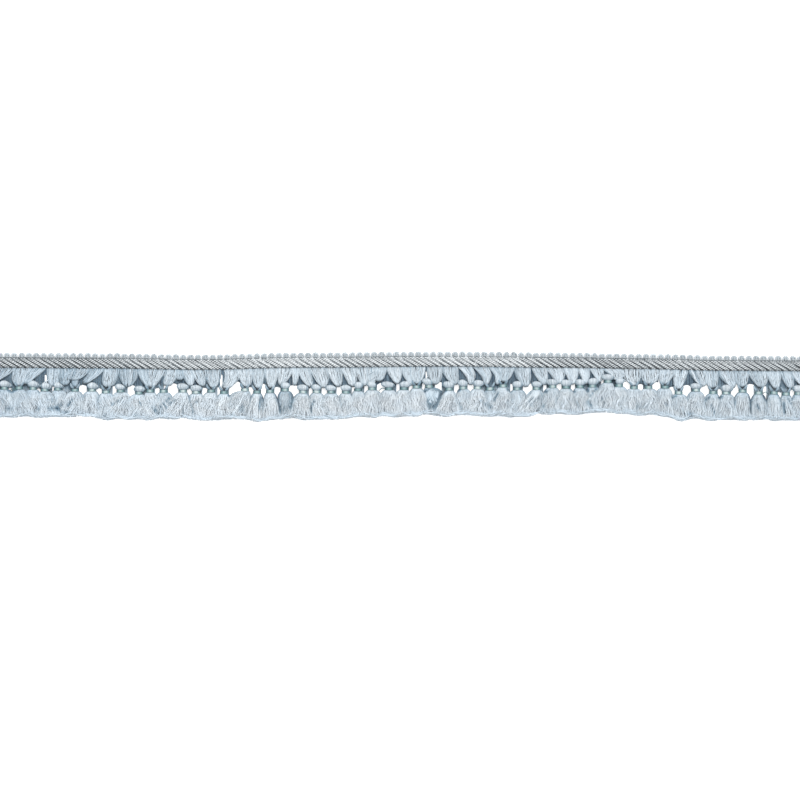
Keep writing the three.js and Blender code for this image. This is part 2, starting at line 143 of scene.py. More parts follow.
# Where the trim is open right through, between the skirt and the tassels and at a few slits in the
# skirt: the marks of both sides, and how far down the opening starts. Most of these numbers were
# measured in the photo by a scratch script, as report.md says. The five slits were set one by one.
# left, right, start
OPENINGS = np.array([
    [8, 12, 388], [34, 40.5, 388.5], [44.6, 47.0, 374.8], [52, 55, 385.5],
    [79, 86, 385], [94, 101.5, 388], [112, 118, 386], [127, 135, 385],
    [155, 160, 388], [163.4, 166.2, 373], [168, 178, 383.5], [186, 193, 389],
    [202, 207, 388], [217.5, 220, 387], [219.6, 222.4, 374.5], [229, 242, 381.5],
    [248, 253, 387], [261, 266, 384], [274, 280, 387], [288, 300, 385],
    [309, 314, 388], [322, 328, 387], [337, 343, 386], [352, 356, 387],
    [364, 369, 383.5], [377, 386, 383], [396, 400, 384], [409, 414, 384],
    [422, 427, 383], [425.2, 427.5, 371.5], [435, 442, 381.5], [454, 459, 384],
    [468, 475, 383], [510, 513, 384], [523, 533, 383], [543, 547, 383],
    [556, 562, 381], [571, 575, 383], [601, 604, 379], [623, 631, 381],
    [638, 643, 384], [651, 661, 382], [658.8, 660.4, 371], [669, 675, 387],
    [683, 691, 385], [699, 710, 384], [718, 722, 389], [731, 739, 384],
    [747, 754, 384], [763, 767, 386], [777.5, 781.5, 392], [790, 800, 389],
])

# Lightness of the skirt at places along the trim
SKIRT_LIGHT = np.array([
    [-250, -0.05], [-180, -0.05], [-140, -0.02], [-60, 0.03],
    [-30, 0.02], [10, 0.0], [32, -0.01], [58, -0.01],
    [85, 0.015], [125, 0.03], [180, 0.0], [250, -0.01],
])

# How each tassel lies, from left to right: in front of or behind the ones beside it, how far its
# threads sweep to the right on their way down, and how clearly it is parted from the others
# front, sweep, parted
TASSEL_LIE = np.array([
    [0.0, 0.0, 0.1], [0.0, 0.3, 0.1], [-0.3, 0.0, 0.1], [0.0, 0.5, 0.1],
    [0.0, 0.5, 0.0], [0.3, 0.8, 0.0], [0.4, -2.2, 0.1], [0.6, 0.0, 0.3],
    [-0.3, 0.2, 0.1], [0.4, -2.4, 0.0], [0.0, -0.8, 0.0], [-0.3, 0.6, 0.1],
    [-0.6, 0.8, 0.2], [1.0, -3.2, 0.1], [0.2, 0.0, 0.0], [0.3, -1.2, 0.2],
    [0.8, -0.6, 0.4], [-0.2, -2.6, 0.1], [0.4, -0.2, 0.9], [0.9, 0.2, 1.0],
    [-0.9, 0.2, 0.8], [0.6, 0.0, 0.6], [-0.2, 0.4, 0.3], [0.2, 0.0, 0.1],
    [0.0, 0.2, 0.2], [0.2, 0.4, 0.2], [0.4, -0.4, 0.2], [0.0, 0.6, 0.2],
    [0.0, 0.0, 0.1], [0.5, 0.6, 0.3], [-1.2, 0.0, 0.15], [1.1, 0.2, 0.3],
    [-0.6, 0.0, 0.1], [0.5, 0.6, 0.1], [-0.9, 0.0, 0.2], [0.8, -1.8, 0.2],
    [-0.6, -0.6, 0.3], [1.1, -4.2, 0.4], [-0.3, 0.0, 0.1], [0.4, -1.2, 0.2],
    [0.2, 0.0, 0.2], [-0.5, 0.0, 0.3], [0.8, -1.6, 0.2], [0.0, 0.2, 0.0],
    [0.0, 0.3, 0.0], [0.2, 0.2, 0.0], [0.4, 0.6, 0.2], [-0.2, 0.4, 0.3],
    [0.3, 0.0, 0.3], [0.4, -0.8, 0.5], [0.0, 0.5, 0.3], [0.7, 0.0, 0.9],
    [0.6, 0.3, 1.0], [0.0, 0.6, 0.7], [0.1, 0.4, 0.6], [0.2, 0.0, 0.4],
    [0.0, 0.0, 0.4],
])

# Where a tassel meets the next one at its top, when that isn't midway between their ties: which
# tassel, counted from 0, and how far to the right
MEETINGS = np.array([[16, -2.2], [29, 0.8], [30, 2.6], [31, 0.9]])

# Creases between the tassels and in them, where the threads part, sink a little and are painted
# with a deep shade: the mark and the height of both ends, half the width, all in marks, and how
# dark the painted shade is
# mark, down, mark at its end, down at its end, half width, depth
CREASES = np.array([
    [2.5, 404, 6.5, 396, 0.8, 0.2], [8, 390.5, 11, 391.5, 0.9, 0.3],
    [13.5, 391.5, 17, 389.5, 0.9, 0.35], [7, 408.5, 12, 408, 1.6, 0.25],
    [33.5, 411, 39, 409, 1.3, 0.3], [49, 408, 55, 407, 1.7, 0.35],
    [55, 407, 61, 411, 1.5, 0.6], [61, 411, 69, 414, 1.6, 0.4],
    [52, 400.5, 57, 400, 1.2, 0.35], [57, 404, 61, 404.5, 1.2, 0.3],
    [68, 406, 72.5, 399, 0.9, 0.4], [97.5, 397, 98.5, 411, 1.5, 0.12],
    [112, 404.5, 122, 399, 1.0, 0.28], [103, 415, 107, 417, 1.3, 0.2],
    [129, 413.5, 138, 416, 1.4, 0.25], [140, 402, 141.5, 405, 0.8, 0.3],
    [154, 409, 160, 415.5, 2.2, 0.32], [160.5, 406.5, 169, 398.5, 0.9, 0.32],
    [166, 407, 175, 400, 0.9, 0.3], [188, 393, 193, 412, 1.0, 0.24],
    [195, 403, 198.5, 400.5, 1.0, 0.25], [228.5, 396, 232, 392, 1.1, 0.4],
    [242, 406, 242.5, 413, 2.2, 0.22], [229, 412.5, 234, 416, 1.2, 0.25],
    [260.5, 397, 259, 411, 1.0, 0.28], [261, 399, 264, 395.5, 0.9, 0.3],
    [275, 393, 279.5, 405, 0.9, 0.28], [279.5, 405, 280.5, 412, 1.2, 0.3],
    [291.5, 396, 290.5, 406, 2.6, 0.16], [311, 412, 311.5, 405, 0.9, 0.42],
    [311.5, 405, 315, 400.5, 0.9, 0.32], [340.5, 397, 341.5, 411, 1.0, 0.16],
    [427, 393, 433, 406, 1.2, 0.3], [441, 393, 435, 406, 1.1, 0.24],
    [425, 392, 429, 390.5, 1.0, 0.4], [441, 393, 446, 391, 1.0, 0.35],
    [455, 392, 460, 390, 1.0, 0.4], [459.5, 403, 462, 410, 0.9, 0.22],
    [481, 401, 493, 409, 1.3, 0.26], [494.5, 400, 498, 393, 0.9, 0.35],
    [507, 389, 510.5, 391, 1.1, 0.35], [526, 404, 534, 397, 0.9, 0.28],
    [530, 405.5, 539, 397, 0.8, 0.24], [537, 410, 545, 405, 1.0, 0.26],
    [543, 389, 546.5, 392, 1.3, 0.45], [556, 402, 557.5, 397, 0.8, 0.25],
    [571.5, 389.5, 574.5, 391.5, 1.1, 0.4], [584, 387, 588, 390.5, 1.3, 0.45],
    [590, 396, 596, 389, 0.8, 0.32], [577, 402, 579, 407, 0.9, 0.25],
    [588, 402, 592, 407, 1.8, 0.22], [601, 397, 605, 403, 0.9, 0.22],
    [637, 402, 641, 402, 1.2, 0.32], [637, 406.5, 647, 405.5, 1.2, 0.3],
    [665, 402, 668, 407, 0.9, 0.26], [672, 398, 676, 396, 1.0, 0.28],
    [686, 414, 693, 415, 1.3, 0.26], [706, 399.5, 709.5, 397, 0.9, 0.3],
    [711, 405, 714, 412, 0.9, 0.32], [718.5, 397.5, 722, 397, 1.0, 0.35],
    [735.5, 400, 735, 406, 1.0, 0.2], [750, 398, 750.5, 411, 1.0, 0.3],
    [757, 405, 760, 411, 0.9, 0.32], [763.5, 396, 766, 399, 1.2, 0.5],
    [783.5, 404, 784.5, 413, 1.4, 0.36], [787, 398, 791, 404, 0.8, 0.22],
])

# Strands of yarn that have come loose from the skirt and lie across it, all in marks
# mark, down, mark at its end, down at its end, rise, width
LOOSE_YARN = np.array([
    [49.5, 379.5, 38, 388, 0.6, 2.2],
    [427.5, 376.5, 424, 384, -0.6, 2.0],
    [619, 377.5, 626, 381.5, 0.3, 1.0],
    [368, 376, 374, 372, 1.2, 0.8],
    [369, 380, 376, 375, -1.0, 1.2],
    [785, 405, 800, 399, 0.8, 0.8],
])

# Ends of tie thread that lie loose in a curl, and how far the curl rises, all in marks
# mark, down, mark at its end, down at its end, rise
LOOSE_ENDS = np.array([
    [379, 390.5, 387, 391, 2.6],
    [763, 393.5, 768.5, 395, 2.2],
    [10, 391.5, 15, 389, 1.6],
    [12, 391, 17.5, 391.5, 2.0],
])

# How far the right side of a head hangs down, at places along the trim
HEAD_DROOP = np.array([[-240, 1.0], [-172, 0.9], [-158, 0.3], [-100, 0.1], [240, 0.15]])

luck = np.random.default_rng(57)


def mix(a, b, share):
    """The value that lies the given share of the way from a to b."""
    return a + (b - a) * share


def along_table(table, place, column=1):
    """Value of a table's column at places along the trim, on straight lines from row to row."""
    return np.interp(place, table[:, 0], table[:, column])


def corners(node):
    """The corner points of a solid of the frame, one row each."""
    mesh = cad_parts[node].data
    flat = np.empty(len(mesh.vertices) * 3, np.float32)
    mesh.vertices.foreach_get("co", flat)
    return flat.reshape(-1, 3).astype(float) / MM


# What the solids say


def read_heading():
    """Lower edge of the heading as places and heights: the lower of the two rows of corner points
    on its flat back. A running mean of the heights lies between the rows and parts them."""
    points = corners("heading_braid")
    back = points[points[:, 2] < 0.01]
    back = back[np.argsort(back[:, 0])]
    middle = np.convolve(np.pad(back[:, 1], 20, "edge"), np.ones(41) / 41, "valid")
    low = back[back[:, 1] < middle]
    return low[:, 0], low[:, 1]


def read_tassels():
    """Each tassel's place, tie, hem and head, as arrays with one value a tassel. The head is what
    stands clear above the tie, and the hem is the lowest millimetre, uneven by twice 0.4 mm."""
    above_tie, hem_depth, uneven = 0.5, 1.0, 0.4
    rows = []
    for name in sorted(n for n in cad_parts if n.startswith("tassel_")):
        points = corners(name)
        facing = points[:, 2].max() > FACING_TOP
        tie_top = points[:, 1].max() - (HEAD_HEIGHT if facing else LOBE_HEIGHT)
        head = points[points[:, 1] > tie_top + above_tie, 0]
        low = points[:, 1].min()
        hem = points[points[:, 1] < low + hem_depth, 0]
        rows.append(
            [
                (head.min() + head.max()) / 2,
                tie_top - TIE_DEPTH / 2,
                low + uneven,
                (hem.min() + hem.max()) / 2,
                np.ptp(hem),
                np.ptp(head),
                facing,
            ]
        )
    names = ("along", "tie", "hem", "hem_along", "spread", "head", "facing")
    return SimpleNamespace(**dict(zip(names, np.array(rows).T)))


edge_along, edge_height = read_heading()
tassels = read_tassels()


def lower_edge(along):
    """Height of the heading's lower edge at places along the trim."""
    return np.interp(along, edge_along, edge_height)


# The hem every half millimetre: the tassels' own, eased with a bell of 17 weights that sum to 1,
# and a shallow wave whose length changes along the trim
hem_grid = np.arange(-250, 250.5, 0.5)
hem_line = np.interp(hem_grid, tassels.hem_along, tassels.hem)
hem_line = np.convolve(np.pad(hem_line, 8, "edge"), np.hanning(19)[1:-1] / 9, "valid")
hem_line = hem_line + 0.3 * np.sin(0.41 * hem_grid + 1.7 * np.sin(0.083 * hem_grid))


def hem_height(along):
    """Height of the hem at places along the trim: the tassels' own, eased from one to the next,
    and a shallow wave."""
    return np.interp(along, hem_grid, hem_line)


# Strands and the meshes that they make


def pairs(across, along):
    """Two arrays, spread to one shape, as a list of pairs."""
    return np.stack(np.broadcast_arrays(across, along), -1).reshape(-1, 2)


class Yarn:
    """Strands and cores that are gathered for one piece, with their values of tone and cool."""

    def __init__(self):
        self.parts = []

    def strands(self, paths, radius, tone, cool=0.0, sides=3, across=(0, 0, 1)):
        """Round strands with flat closed ends. paths is (strand, step, 3). At every step a ring of
        `sides` corners stands square to the path: across is a direction that no path follows, and
        side and up, square to the path, come from it by cross products."""
        count, steps, _ = paths.shape
        run = np.gradient(paths, axis=1)
        run /= np.linalg.norm(run, axis=2, keepdims=True)
        side = np.cross(run, np.asarray(across, float))
        side /= np.linalg.norm(side, axis=2, keepdims=True)
        up = np.cross(side, run)
        turn = (np.arange(sides) / sides + 0.25) * 2 * np.pi
        ring = np.cos(turn)[:, None] * side[:, :, None] + np.sin(turn)[:, None] * up[:, :, None]
        wide = np.broadcast_to(np.asarray(radius, float), (count, steps))
        points = paths[:, :, None] + wide[..., None, None] * ring
        length = np.linalg.norm(np.diff(paths, axis=1), axis=2).cumsum(1)
        length = np.concatenate([np.zeros((count, 1)), length], 1)
        self.add(points, length, tone, cool)

    def bundles(self, paths, radius, tone, cool):
        """Strands in bundles: paths is (bundle, strand, step, 3), and a tone or a cool may be one
        for each step, strand or bundle."""
        one_each = (-1, paths.shape[2])
        tone, cool = (np.broadcast_to(v, paths.shape[:3]).reshape(one_each) for v in (tone, cool))
        self.strands(paths.reshape(*one_each, 3), radius, tone, cool)

    def core(self, points, tone, cool=0.0):
        """Closed bodies under the strands. points is (body, step, side, 3), a closed ring at every
        step, and both ends are closed flat."""
        length = np.broadcast_to(np.arange(points.shape[1], dtype=float), points.shape[:2])
        self.add(points, length, tone, cool)

    def add(self, points, length, tone, cool):
        """Keeps rings of points as (strand, step, side, 3), with a tone and a cool for each step
        or for each point."""
        count, steps, sides, _ = points.shape
        shape = (count, steps, sides)

        def spread(value):
            value = np.asarray(value, float)
            while value.ndim < 3:
                value = value[..., None]
            return np.broadcast_to(value, shape)

        self.parts.append((points, length, spread(tone), spread(cool)))

    def piece(self, name, finish, slot, *nodes):
        """The mesh. Each strand is a tube of four-sided faces between its rings. The map `thread`
        has the way round a strand in turns and the way along it in metres, and the map OFBake has
        a square cell for each strand."""
        cells = math.ceil(math.sqrt(sum(len(p[0]) for p in self.parts)))
        points, faces, thread, cell_map, sizes, smooth = [], [], [], [], [], []
        first = used = 0
        for ring, length, _, _ in self.parts:
            count, steps, sides, _ = ring.shape
            index = first + np.arange(count * steps * sides).reshape(count, steps, sides)
            after = np.roll(index, -1, axis=2)
            tube = np.stack([index[:, :-1], index[:, 1:], after[:, 1:], after[:, :-1]], axis=-1)
            k = np.arange(sides)
            around = np.stack([k, k, k + 1, k + 1], -1) / sides
            j = np.arange(steps)
            step = np.stack([j[:-1], j[1:], j[1:], j[:-1]], -1)
            cell = used + np.arange(count)
            column, row = cell % cells, cell // cells
            thread.append(pairs(around, length[:, step][:, :, None] * MM))
            cell_across = column[:, None, None, None] + 0.2 + 0.75 * around
            cell_up = row[:, None, None, None] + 0.05 + 0.9 * (step / (steps - 1))[:, None]
            cell_map.append(pairs(cell_across, cell_up) / cells)
            faces.append(tube.reshape(-1))
            sizes.append(np.full(tube.size // 4, 4))
            smooth.append(np.ones(tube.size // 4, bool))
            for end, low in ((index[:, 0], 0.1), (index[:, -1, ::-1], 0.6)):
                turn = np.arange(sides) / sides * 2 * np.pi
                disc = np.stack([0.1 + 0.05 * np.cos(turn), low + 0.15 + 0.05 * np.sin(turn)], -1)
                corner = np.stack([column, row], -1)[:, None] + disc
                faces.append(end.reshape(-1))
                thread.append(np.broadcast_to(disc * MM, (count, sides, 2)).reshape(-1, 2))
                cell_map.append(corner.reshape(-1, 2) / cells)
                sizes.append(np.full(count, sides))
                smooth.append(np.zeros(count, bool))
            points.append(ring.reshape(-1, 3))
            first += index.size
            used += count
        mesh = bpy.data.meshes.new(name)
        points, faces = np.concatenate(points) * MM, np.concatenate(faces)
        sizes, smooth = np.concatenate(sizes), np.concatenate(smooth)
        mesh.vertices.add(len(points))
        mesh.vertices.foreach_set("co", points.astype(np.float32).ravel())
        mesh.loops.add(len(faces))
        mesh.loops.foreach_set("vertex_index", faces.astype(np.int32))
        mesh.polygons.add(len(sizes))
        starts = np.concatenate([[0], sizes.cumsum()[:-1]])
        mesh.polygons.foreach_set("loop_start", starts.astype(np.int32))
        mesh.polygons.foreach_set("use_smooth", smooth)
        for label, places in (("thread", thread), ("OFBake", cell_map)):
            layer = mesh.uv_layers.new(name=label)
            layer.data.foreach_set("uv", np.concatenate(places).astype(np.float32).ravel())
        for label, column in (("tone", 2), ("cool", 3)):
            values = np.concatenate([p[column].ravel() for p in self.parts])
            mesh.attributes.new(label, "FLOAT", "POINT").data.foreach_set(
                "value", values.astype(np.float32)
            )
        mesh.update(calc_edges=True)
        mesh.materials.append(finish)
        piece = bpy.data.objects.new(name, mesh)
        bpy.context.scene.collection.objects.link(piece)
        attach(piece, "root")
        if nodes:
            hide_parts(*nodes)
        return piece


# Finishes

BLUE_TINT = (0.86, 0.95, 1.02, 1)
THREAD_PLIES = 2
TWIST_RELIEF = 0.35


def wire(tree, start, output, end, target):
    """Links an output of one node to an input of another."""
    tree.links.new(start.outputs[output], end.inputs[target])


def worked_out(tree, operation, *values):
    """Result of a Math node, each of whose values is a number or a node's output."""
    node = tree.nodes.new("ShaderNodeMath")
    node.operation = operation
    for target, value in zip(node.inputs, values):
        if isinstance(value, bpy.types.NodeSocket):
            tree.links.new(value, target)
        else:
            target.default_value = value
    return node.outputs["Value"]


def yarn_finish(name, colours, rough, sheen):
    """Spun yarn. The attribute tone picks a colour from deep shade to a pale crest, and cool shifts
    it to blue. Fine noise gives the fibres, and its twist is the sine of an angle that grows by two
    turns once round the thread and by one turn in THREAD_TWIST along it."""
    finish = bpy.data.materials.new(name)
    finish.use_nodes = True
    tree = finish.node_tree
    shader = tree.nodes["Principled BSDF"]
    shader.inputs["Roughness"].default_value = rough
    shader.inputs["Specular IOR Level"].default_value = 0.35
    shader.inputs["Sheen Weight"].default_value = sheen
    shader.inputs["Sheen Roughness"].default_value = 0.45

    tone = tree.nodes.new("ShaderNodeAttribute")
    tone.attribute_name = "tone"
    cool = tree.nodes.new("ShaderNodeAttribute")
    cool.attribute_name = "cool"
    place = tree.nodes.new("ShaderNodeTexCoord")

    fibres = tree.nodes.new("ShaderNodeTexNoise")
    fibres.inputs["Scale"].default_value = 1400
    fibres.inputs["Detail"].default_value = 2
    wire(tree, place, "Object", fibres, "Vector")
    uneven = tree.nodes.new("ShaderNodeMapRange")
    uneven.inputs["To Min"].default_value = -0.07
    uneven.inputs["To Max"].default_value = 0.07
    wire(tree, fibres, "Fac", uneven, "Value")
    total = worked_out(tree, "ADD", tone.outputs["Fac"], uneven.outputs["Result"])

    ramp = tree.nodes.new("ShaderNodeValToRGB")
    stops = ramp.color_ramp.elements
    while len(stops) < len(colours):
        stops.new(0.5)
    for stop, (position, colour) in zip(stops, colours):
        stop.position = position
        stop.color = (*linear(colour), 1)
    tree.links.new(total, ramp.inputs["Fac"])

    tint = tree.nodes.new("ShaderNodeMix")
    tint.data_type = "RGBA"
    tint.blend_type = "MULTIPLY"
    wire(tree, cool, "Fac", tint, "Factor")
    tree.links.new(ramp.outputs["Color"], tint.inputs[6])
    tint.inputs[7].default_value = BLUE_TINT
    tree.links.new(tint.outputs[2], shader.inputs["Base Color"])

    way = tree.nodes.new("ShaderNodeUVMap")
    way.uv_map = "thread"
    parts = tree.nodes.new("ShaderNodeSeparateXYZ")
    wire(tree, way, "UV", parts, "Vector")
    across, along = parts.outputs["X"], parts.outputs["Y"]
    around = worked_out(tree, "MULTIPLY", across, 2 * math.pi * THREAD_PLIES)
    a_turn = 2 * math.pi / (THREAD_TWIST * MM)
    wound = worked_out(tree, "MULTIPLY_ADD", along, a_turn, around)
    wave = worked_out(tree, "SINE", wound)
    relief = worked_out(tree, "MULTIPLY_ADD", wave, TWIST_RELIEF, fibres.outputs["Fac"])
    bump = tree.nodes.new("ShaderNodeBump")
    bump.inputs["Strength"].default_value = 0.5
    bump.inputs["Distance"].default_value = 0.05 * MM
    tree.links.new(relief, bump.inputs["Height"])
    wire(tree, bump, "Normal", shader, "Normal")
    return finish


def linear(colour):
    """A display colour of 0 to 255 as linear light."""
    share = np.asarray(colour, float) / 255
    return np.where(share > 0.04045, ((share + 0.055) / 1.055) ** 2.4, share / 12.92)


# Colours from deep shade to a pale crest, each with the tone at which it is reached
yarn_colours = [
    (0.0, (30, 60, 80)),
    (0.3, (114, 135, 148)),
    (0.6, (194, 201, 206)),
    (1.0, (217, 222, 227)),
]
cord_colours = [
    (0.0, (30, 36, 40)),
    (0.3, (102, 110, 115)),
    (0.6, (188, 193, 196)),
    (1.0, (224, 227, 228)),
]
tie_colours = [
    (0.0, (22, 62, 70)),
    (0.35, (102, 130, 134)),
    (0.65, (190, 198, 197)),
    (1.0, (228, 230, 228)),
]
tassel_finish = yarn_finish("tassel yarn", yarn_colours, rough=0.68, sheen=0.25)
skirt_finish = yarn_finish("skirt yarn", yarn_colours, rough=0.66, sheen=0.25)
cord_finish = yarn_finish("heading cord", cord_colours, rough=0.55, sheen=0.1)
tie_finish = yarn_finish("tie thread", tie_colours, rough=0.5, sheen=0.1)


def evenly(rows, count):
    """For each row, count values from -1 to 1, one in each equal share of the way, in order."""
    return (np.arange(count) + luck.random((rows, count))) / count * 2 - 1


def clumped(across, clumps):
    """Middle of the clump that each value belongs to, with clumps of uneven width, and a random
    number of each clump's own."""
    rows = len(across)
    edges = np.linspace(-1, 1, clumps + 1) + np.pad(
        luck.uniform(-0.35, 0.35, (rows, clumps - 1)) * 2 / clumps, ((0, 0), (1, 1))
    )
    which = (across[:, :, None] > edges[:, None, 1:-1]).sum(2)
    middle = (edges[:, :-1] + edges[:, 1:]) / 2
    own = luck.normal(0, 1, (rows, clumps))
    return np.take_along_axis(middle, which, 1), np.take_along_axis(own, which, 1)


# Heading

# Where the middle of a pair of cords lies past its loop's number and half of the space between the
# two, in shares of the pitch, and the shortest share of a cord that is kept at the trim's ends
PAIR_AT = 0.44
PAIR_APART = 0.195
LEAST_CORD = 0.06
CORD_STEPS = 29
LOOPS = 114
# Half of a loop's width, its height, and how far above the lower edge its feet stand
LOOP_HALF = 1.42
LOOP_TALL = 2.3
LOOP_FOOT = 5.75


def in_band(along, depth, height):
    """Points of the heading from their place, depth above its lower edge and height."""
    along, depth, height = np.broadcast_arrays(along, depth, height)
    return np.stack([along, lower_edge(along) + depth, height], -1)


def twisted(centre, plies, offset, pitch, across=(0, 0, 1), start=0.0):
    """Paths of the plies that wind round each centre line: at every step, a ply is the offset
    away, at an angle that grows with the length run, one turn for each pitch. Gives as well how
    far each step faces up, from -1 to 1."""
    run = np.gradient(centre, axis=1)
    step = np.linalg.norm(run, axis=2, keepdims=True)
    run = run / step
    side = np.cross(run, np.asarray(across, float))
    side /= np.linalg.norm(side, axis=2, keepdims=True)
    up = np.cross(side, run)
    length = np.cumsum(step, axis=1)
    angle = 2 * np.pi * (length / pitch + (np.arange(plies) / plies)[:, None, None, None])
    angle = angle + start
    paths = centre + offset * (np.cos(angle) * side + np.sin(angle) * up)
    return paths.reshape(-1, *centre.shape[1:]), np.sin(angle).reshape(-1, centre.shape[1])


def lay_cords():
    """Cords of two plies that cross the band on a slant, two to each loop. From its low end to its
    high end a cord's middle goes back along the trim by the cord's run, bows towards its pair by
    part of a sine, and arches up from the ground by part of another to the power 0.6."""
    yarn = Yarn()
    half = math.ceil((HALF_LENGTH + CORD_RUN) / CORD_PITCH)
    number = np.repeat(np.arange(-half, half + 1), 2)
    side = np.tile([-1.0, 1.0], 2 * half + 1)
    apart = PAIR_APART + np.repeat(luck.normal(0, 0.03, 2 * half + 1), 2)
    shift = np.repeat(luck.normal(0, 0.04, 2 * half + 1), 2)
    low_end = (number + PAIR_AT + shift + apart * side) * CORD_PITCH
    low = np.clip(1 - (HALF_LENGTH - low_end) / CORD_RUN, 0, 1)
    high = np.clip(1 - (-HALF_LENGTH - low_end) / CORD_RUN, 0, 1)
    whole = high - low > LEAST_CORD
    low_end, low, high, side = low_end[whole], low[whole], high[whole], side[whole]
    way = mix(low[:, None], high[:, None], np.linspace(0, 1, CORD_STEPS))
    along = low_end[:, None] + CORD_RUN * (1 - way)
    along = along - side[:, None] * 0.22 * np.sin(np.pi * np.clip(way * 1.3, 0, 1))
    depth = 0.25 + (BAND_DEPTH - 0.3) * way
    arch = np.sin(np.pi * np.clip(mix(0.12, 0.94, way), 0, 1)) ** 0.6
    centre = in_band(along, depth, 1.2 + 0.75 * arch)
    plies, lift = twisted(centre, 2, CORD_PLY_OUT, CORD_TWIST)
    base = 0.51 + luck.normal(0, 0.06, (len(plies), 1))
    groove_shade = along_table(STRETCHES, plies[:, :, 0], 1)
    edge = np.abs(np.tile(way, (2, 1)) - 0.5) * 2
    grain_and_ply_light = np.clip(lift, 0, 1) ** 0.8
    # Painted light and shade: a ply is paler where it faces up and darker where it turns to its
    # side, a cord is darker towards both ends where it dips to the ground, and darker again where
    # the painted shade in the grooves is deeper
    tone = base - 0.1 * edge**4 + 0.2 * (0.8 - groove_shade) + 0.5 * (grain_and_ply_light - 0.45)
    yarn.strands(plies, CORD_PLY, tone, sides=4)
    yarn.piece("heading_cords", cord_finish, "heading_cord", "heading_braid")


def lay_loops():
    """A loop of three plies above each pair of cords. Over half a turn its middle goes along by the
    cosine and out by the square root of the sine, and a short thick strand fills it."""
    yarn = Yarn()
    place = (np.arange(LOOPS) - (LOOPS - 1) / 2) * CORD_PITCH
    turn = np.linspace(0, np.pi, 13)
    place = place[np.abs(place) < HALF_LENGTH - 1.8]
    wobble = luck.normal(0, 0.06, (len(place), 3))
    wide = LOOP_HALF * (1 + 0.6 * wobble[:, :1])
    tall = LOOP_TALL + wobble[:, 1:2]
    along = place[:, None] - wide * np.cos(turn)
    depth = LOOP_FOOT + tall * np.sin(turn) ** 0.5
    centre = in_band(along, depth, 1.0 + 0.25 * np.sin(turn))
    plies, lift = twisted(centre, 3, LOOP_PLY_OUT, LOOP_TWIST, start=0.4)
    # Painted highlight where a ply faces up, and a little darker towards the top of the loop
    tone = 0.44 + luck.normal(0, 0.05, (len(plies), 1)) - 0.06 * np.sin(turn) + 0.14 * lift
    yarn.strands(plies, LOOP_PLY, tone, 0.35, sides=4)
    filling = in_band(place[:, None], 5.3 + np.linspace(0, 2.7, 4), 1.0)
    yarn.strands(filling, LOOP_FILLING, 0.42, 0.35, sides=6)
    yarn.piece("heading_loops", cord_finish, "heading_cord")


def lay_stitches():
    """A line of stitches along both edges of the band. Each lies in a low arch, which falls off
    with the square of the distance from its middle."""
    yarn = Yarn()
    place = (np.arange(LOOPS + 1) - LOOPS / 2) * CORD_PITCH
    place = place[np.abs(place) < HALF_LENGTH - 2.2]
    dash = np.linspace(-1.15, 1.15, 5)
    # The stitches are dark, and darker still where the painted shade in the heading's grooves is
    # deeper
    groove_shade = along_table(STRETCHES, place, 1)[:, None]
    low_line = in_band(place[:, None] + 0.4 + dash, 0.12 - 0.05 * dash, 1.95 - 0.12 * dash**2)
    yarn.strands(low_line, LOW_STITCH, 0.07 + 0.2 * (1 - groove_shade))
    between = place[:, None] + CORD_PITCH / 2 + dash
    high_line = in_band(between, LOOP_FOOT + 0.02 * dash, 1.8 - 0.1 * dash**2)
    yarn.strands(high_line, HIGH_STITCH, 0.16 + 0.2 * (1 - groove_shade), 0.2)
    yarn.piece("heading_stitches", cord_finish, "heading_cord")


def lay_shaded_ground():
    """The ground under the cords, painted dark as the shade that shows in the grooves between them,
    and darker where
    that painted shade is deeper: one outline of seven corners carried along the heading, in random
    patches of tone."""
    yarn = Yarn()
    along = np.linspace(-HALF_LENGTH, HALF_LENGTH, 481)
    outline = np.array(
        [[0.2, 0.1], [0.1, 0.8], [0.5, 1.3], [2.8, 1.45], [5.2, 1.3], [6.1, 0.9], [6.0, 0.1]]
    )
    ground = in_band(along[:, None], outline[:, 0], outline[:, 1])[None]
    groove_shade = along_table(STRETCHES, along, 1)[:, None]
    patches = luck.normal(0, 0.13, (len(along), len(outline))) + 0.03 * outline[:, 0]
    tone = np.clip(0.15 + 0.4 * (1 - groove_shade) + patches, 0, 1)[None]
    yarn.core(ground[:, :, ::-1], tone[:, :, ::-1])
    yarn.piece("heading_shaded_ground", cord_finish, "heading_cord")


# Skirt

SKIRT_THREADS = 52
SKIRT_STEPS = 10
SKIRT_CLUMPS = 7
# The yarn behind: how far apart it hangs, its level, how far below the ties it reaches, how round
# the top of an opening is, and the mark down to which light falls on it
BACK_PITCH = 0.48
BACK_LEVEL = 0.45
BACK_BELOW_TIE = 3.4
OPENING_ARCH = 0.35
LIT_MARK = 384


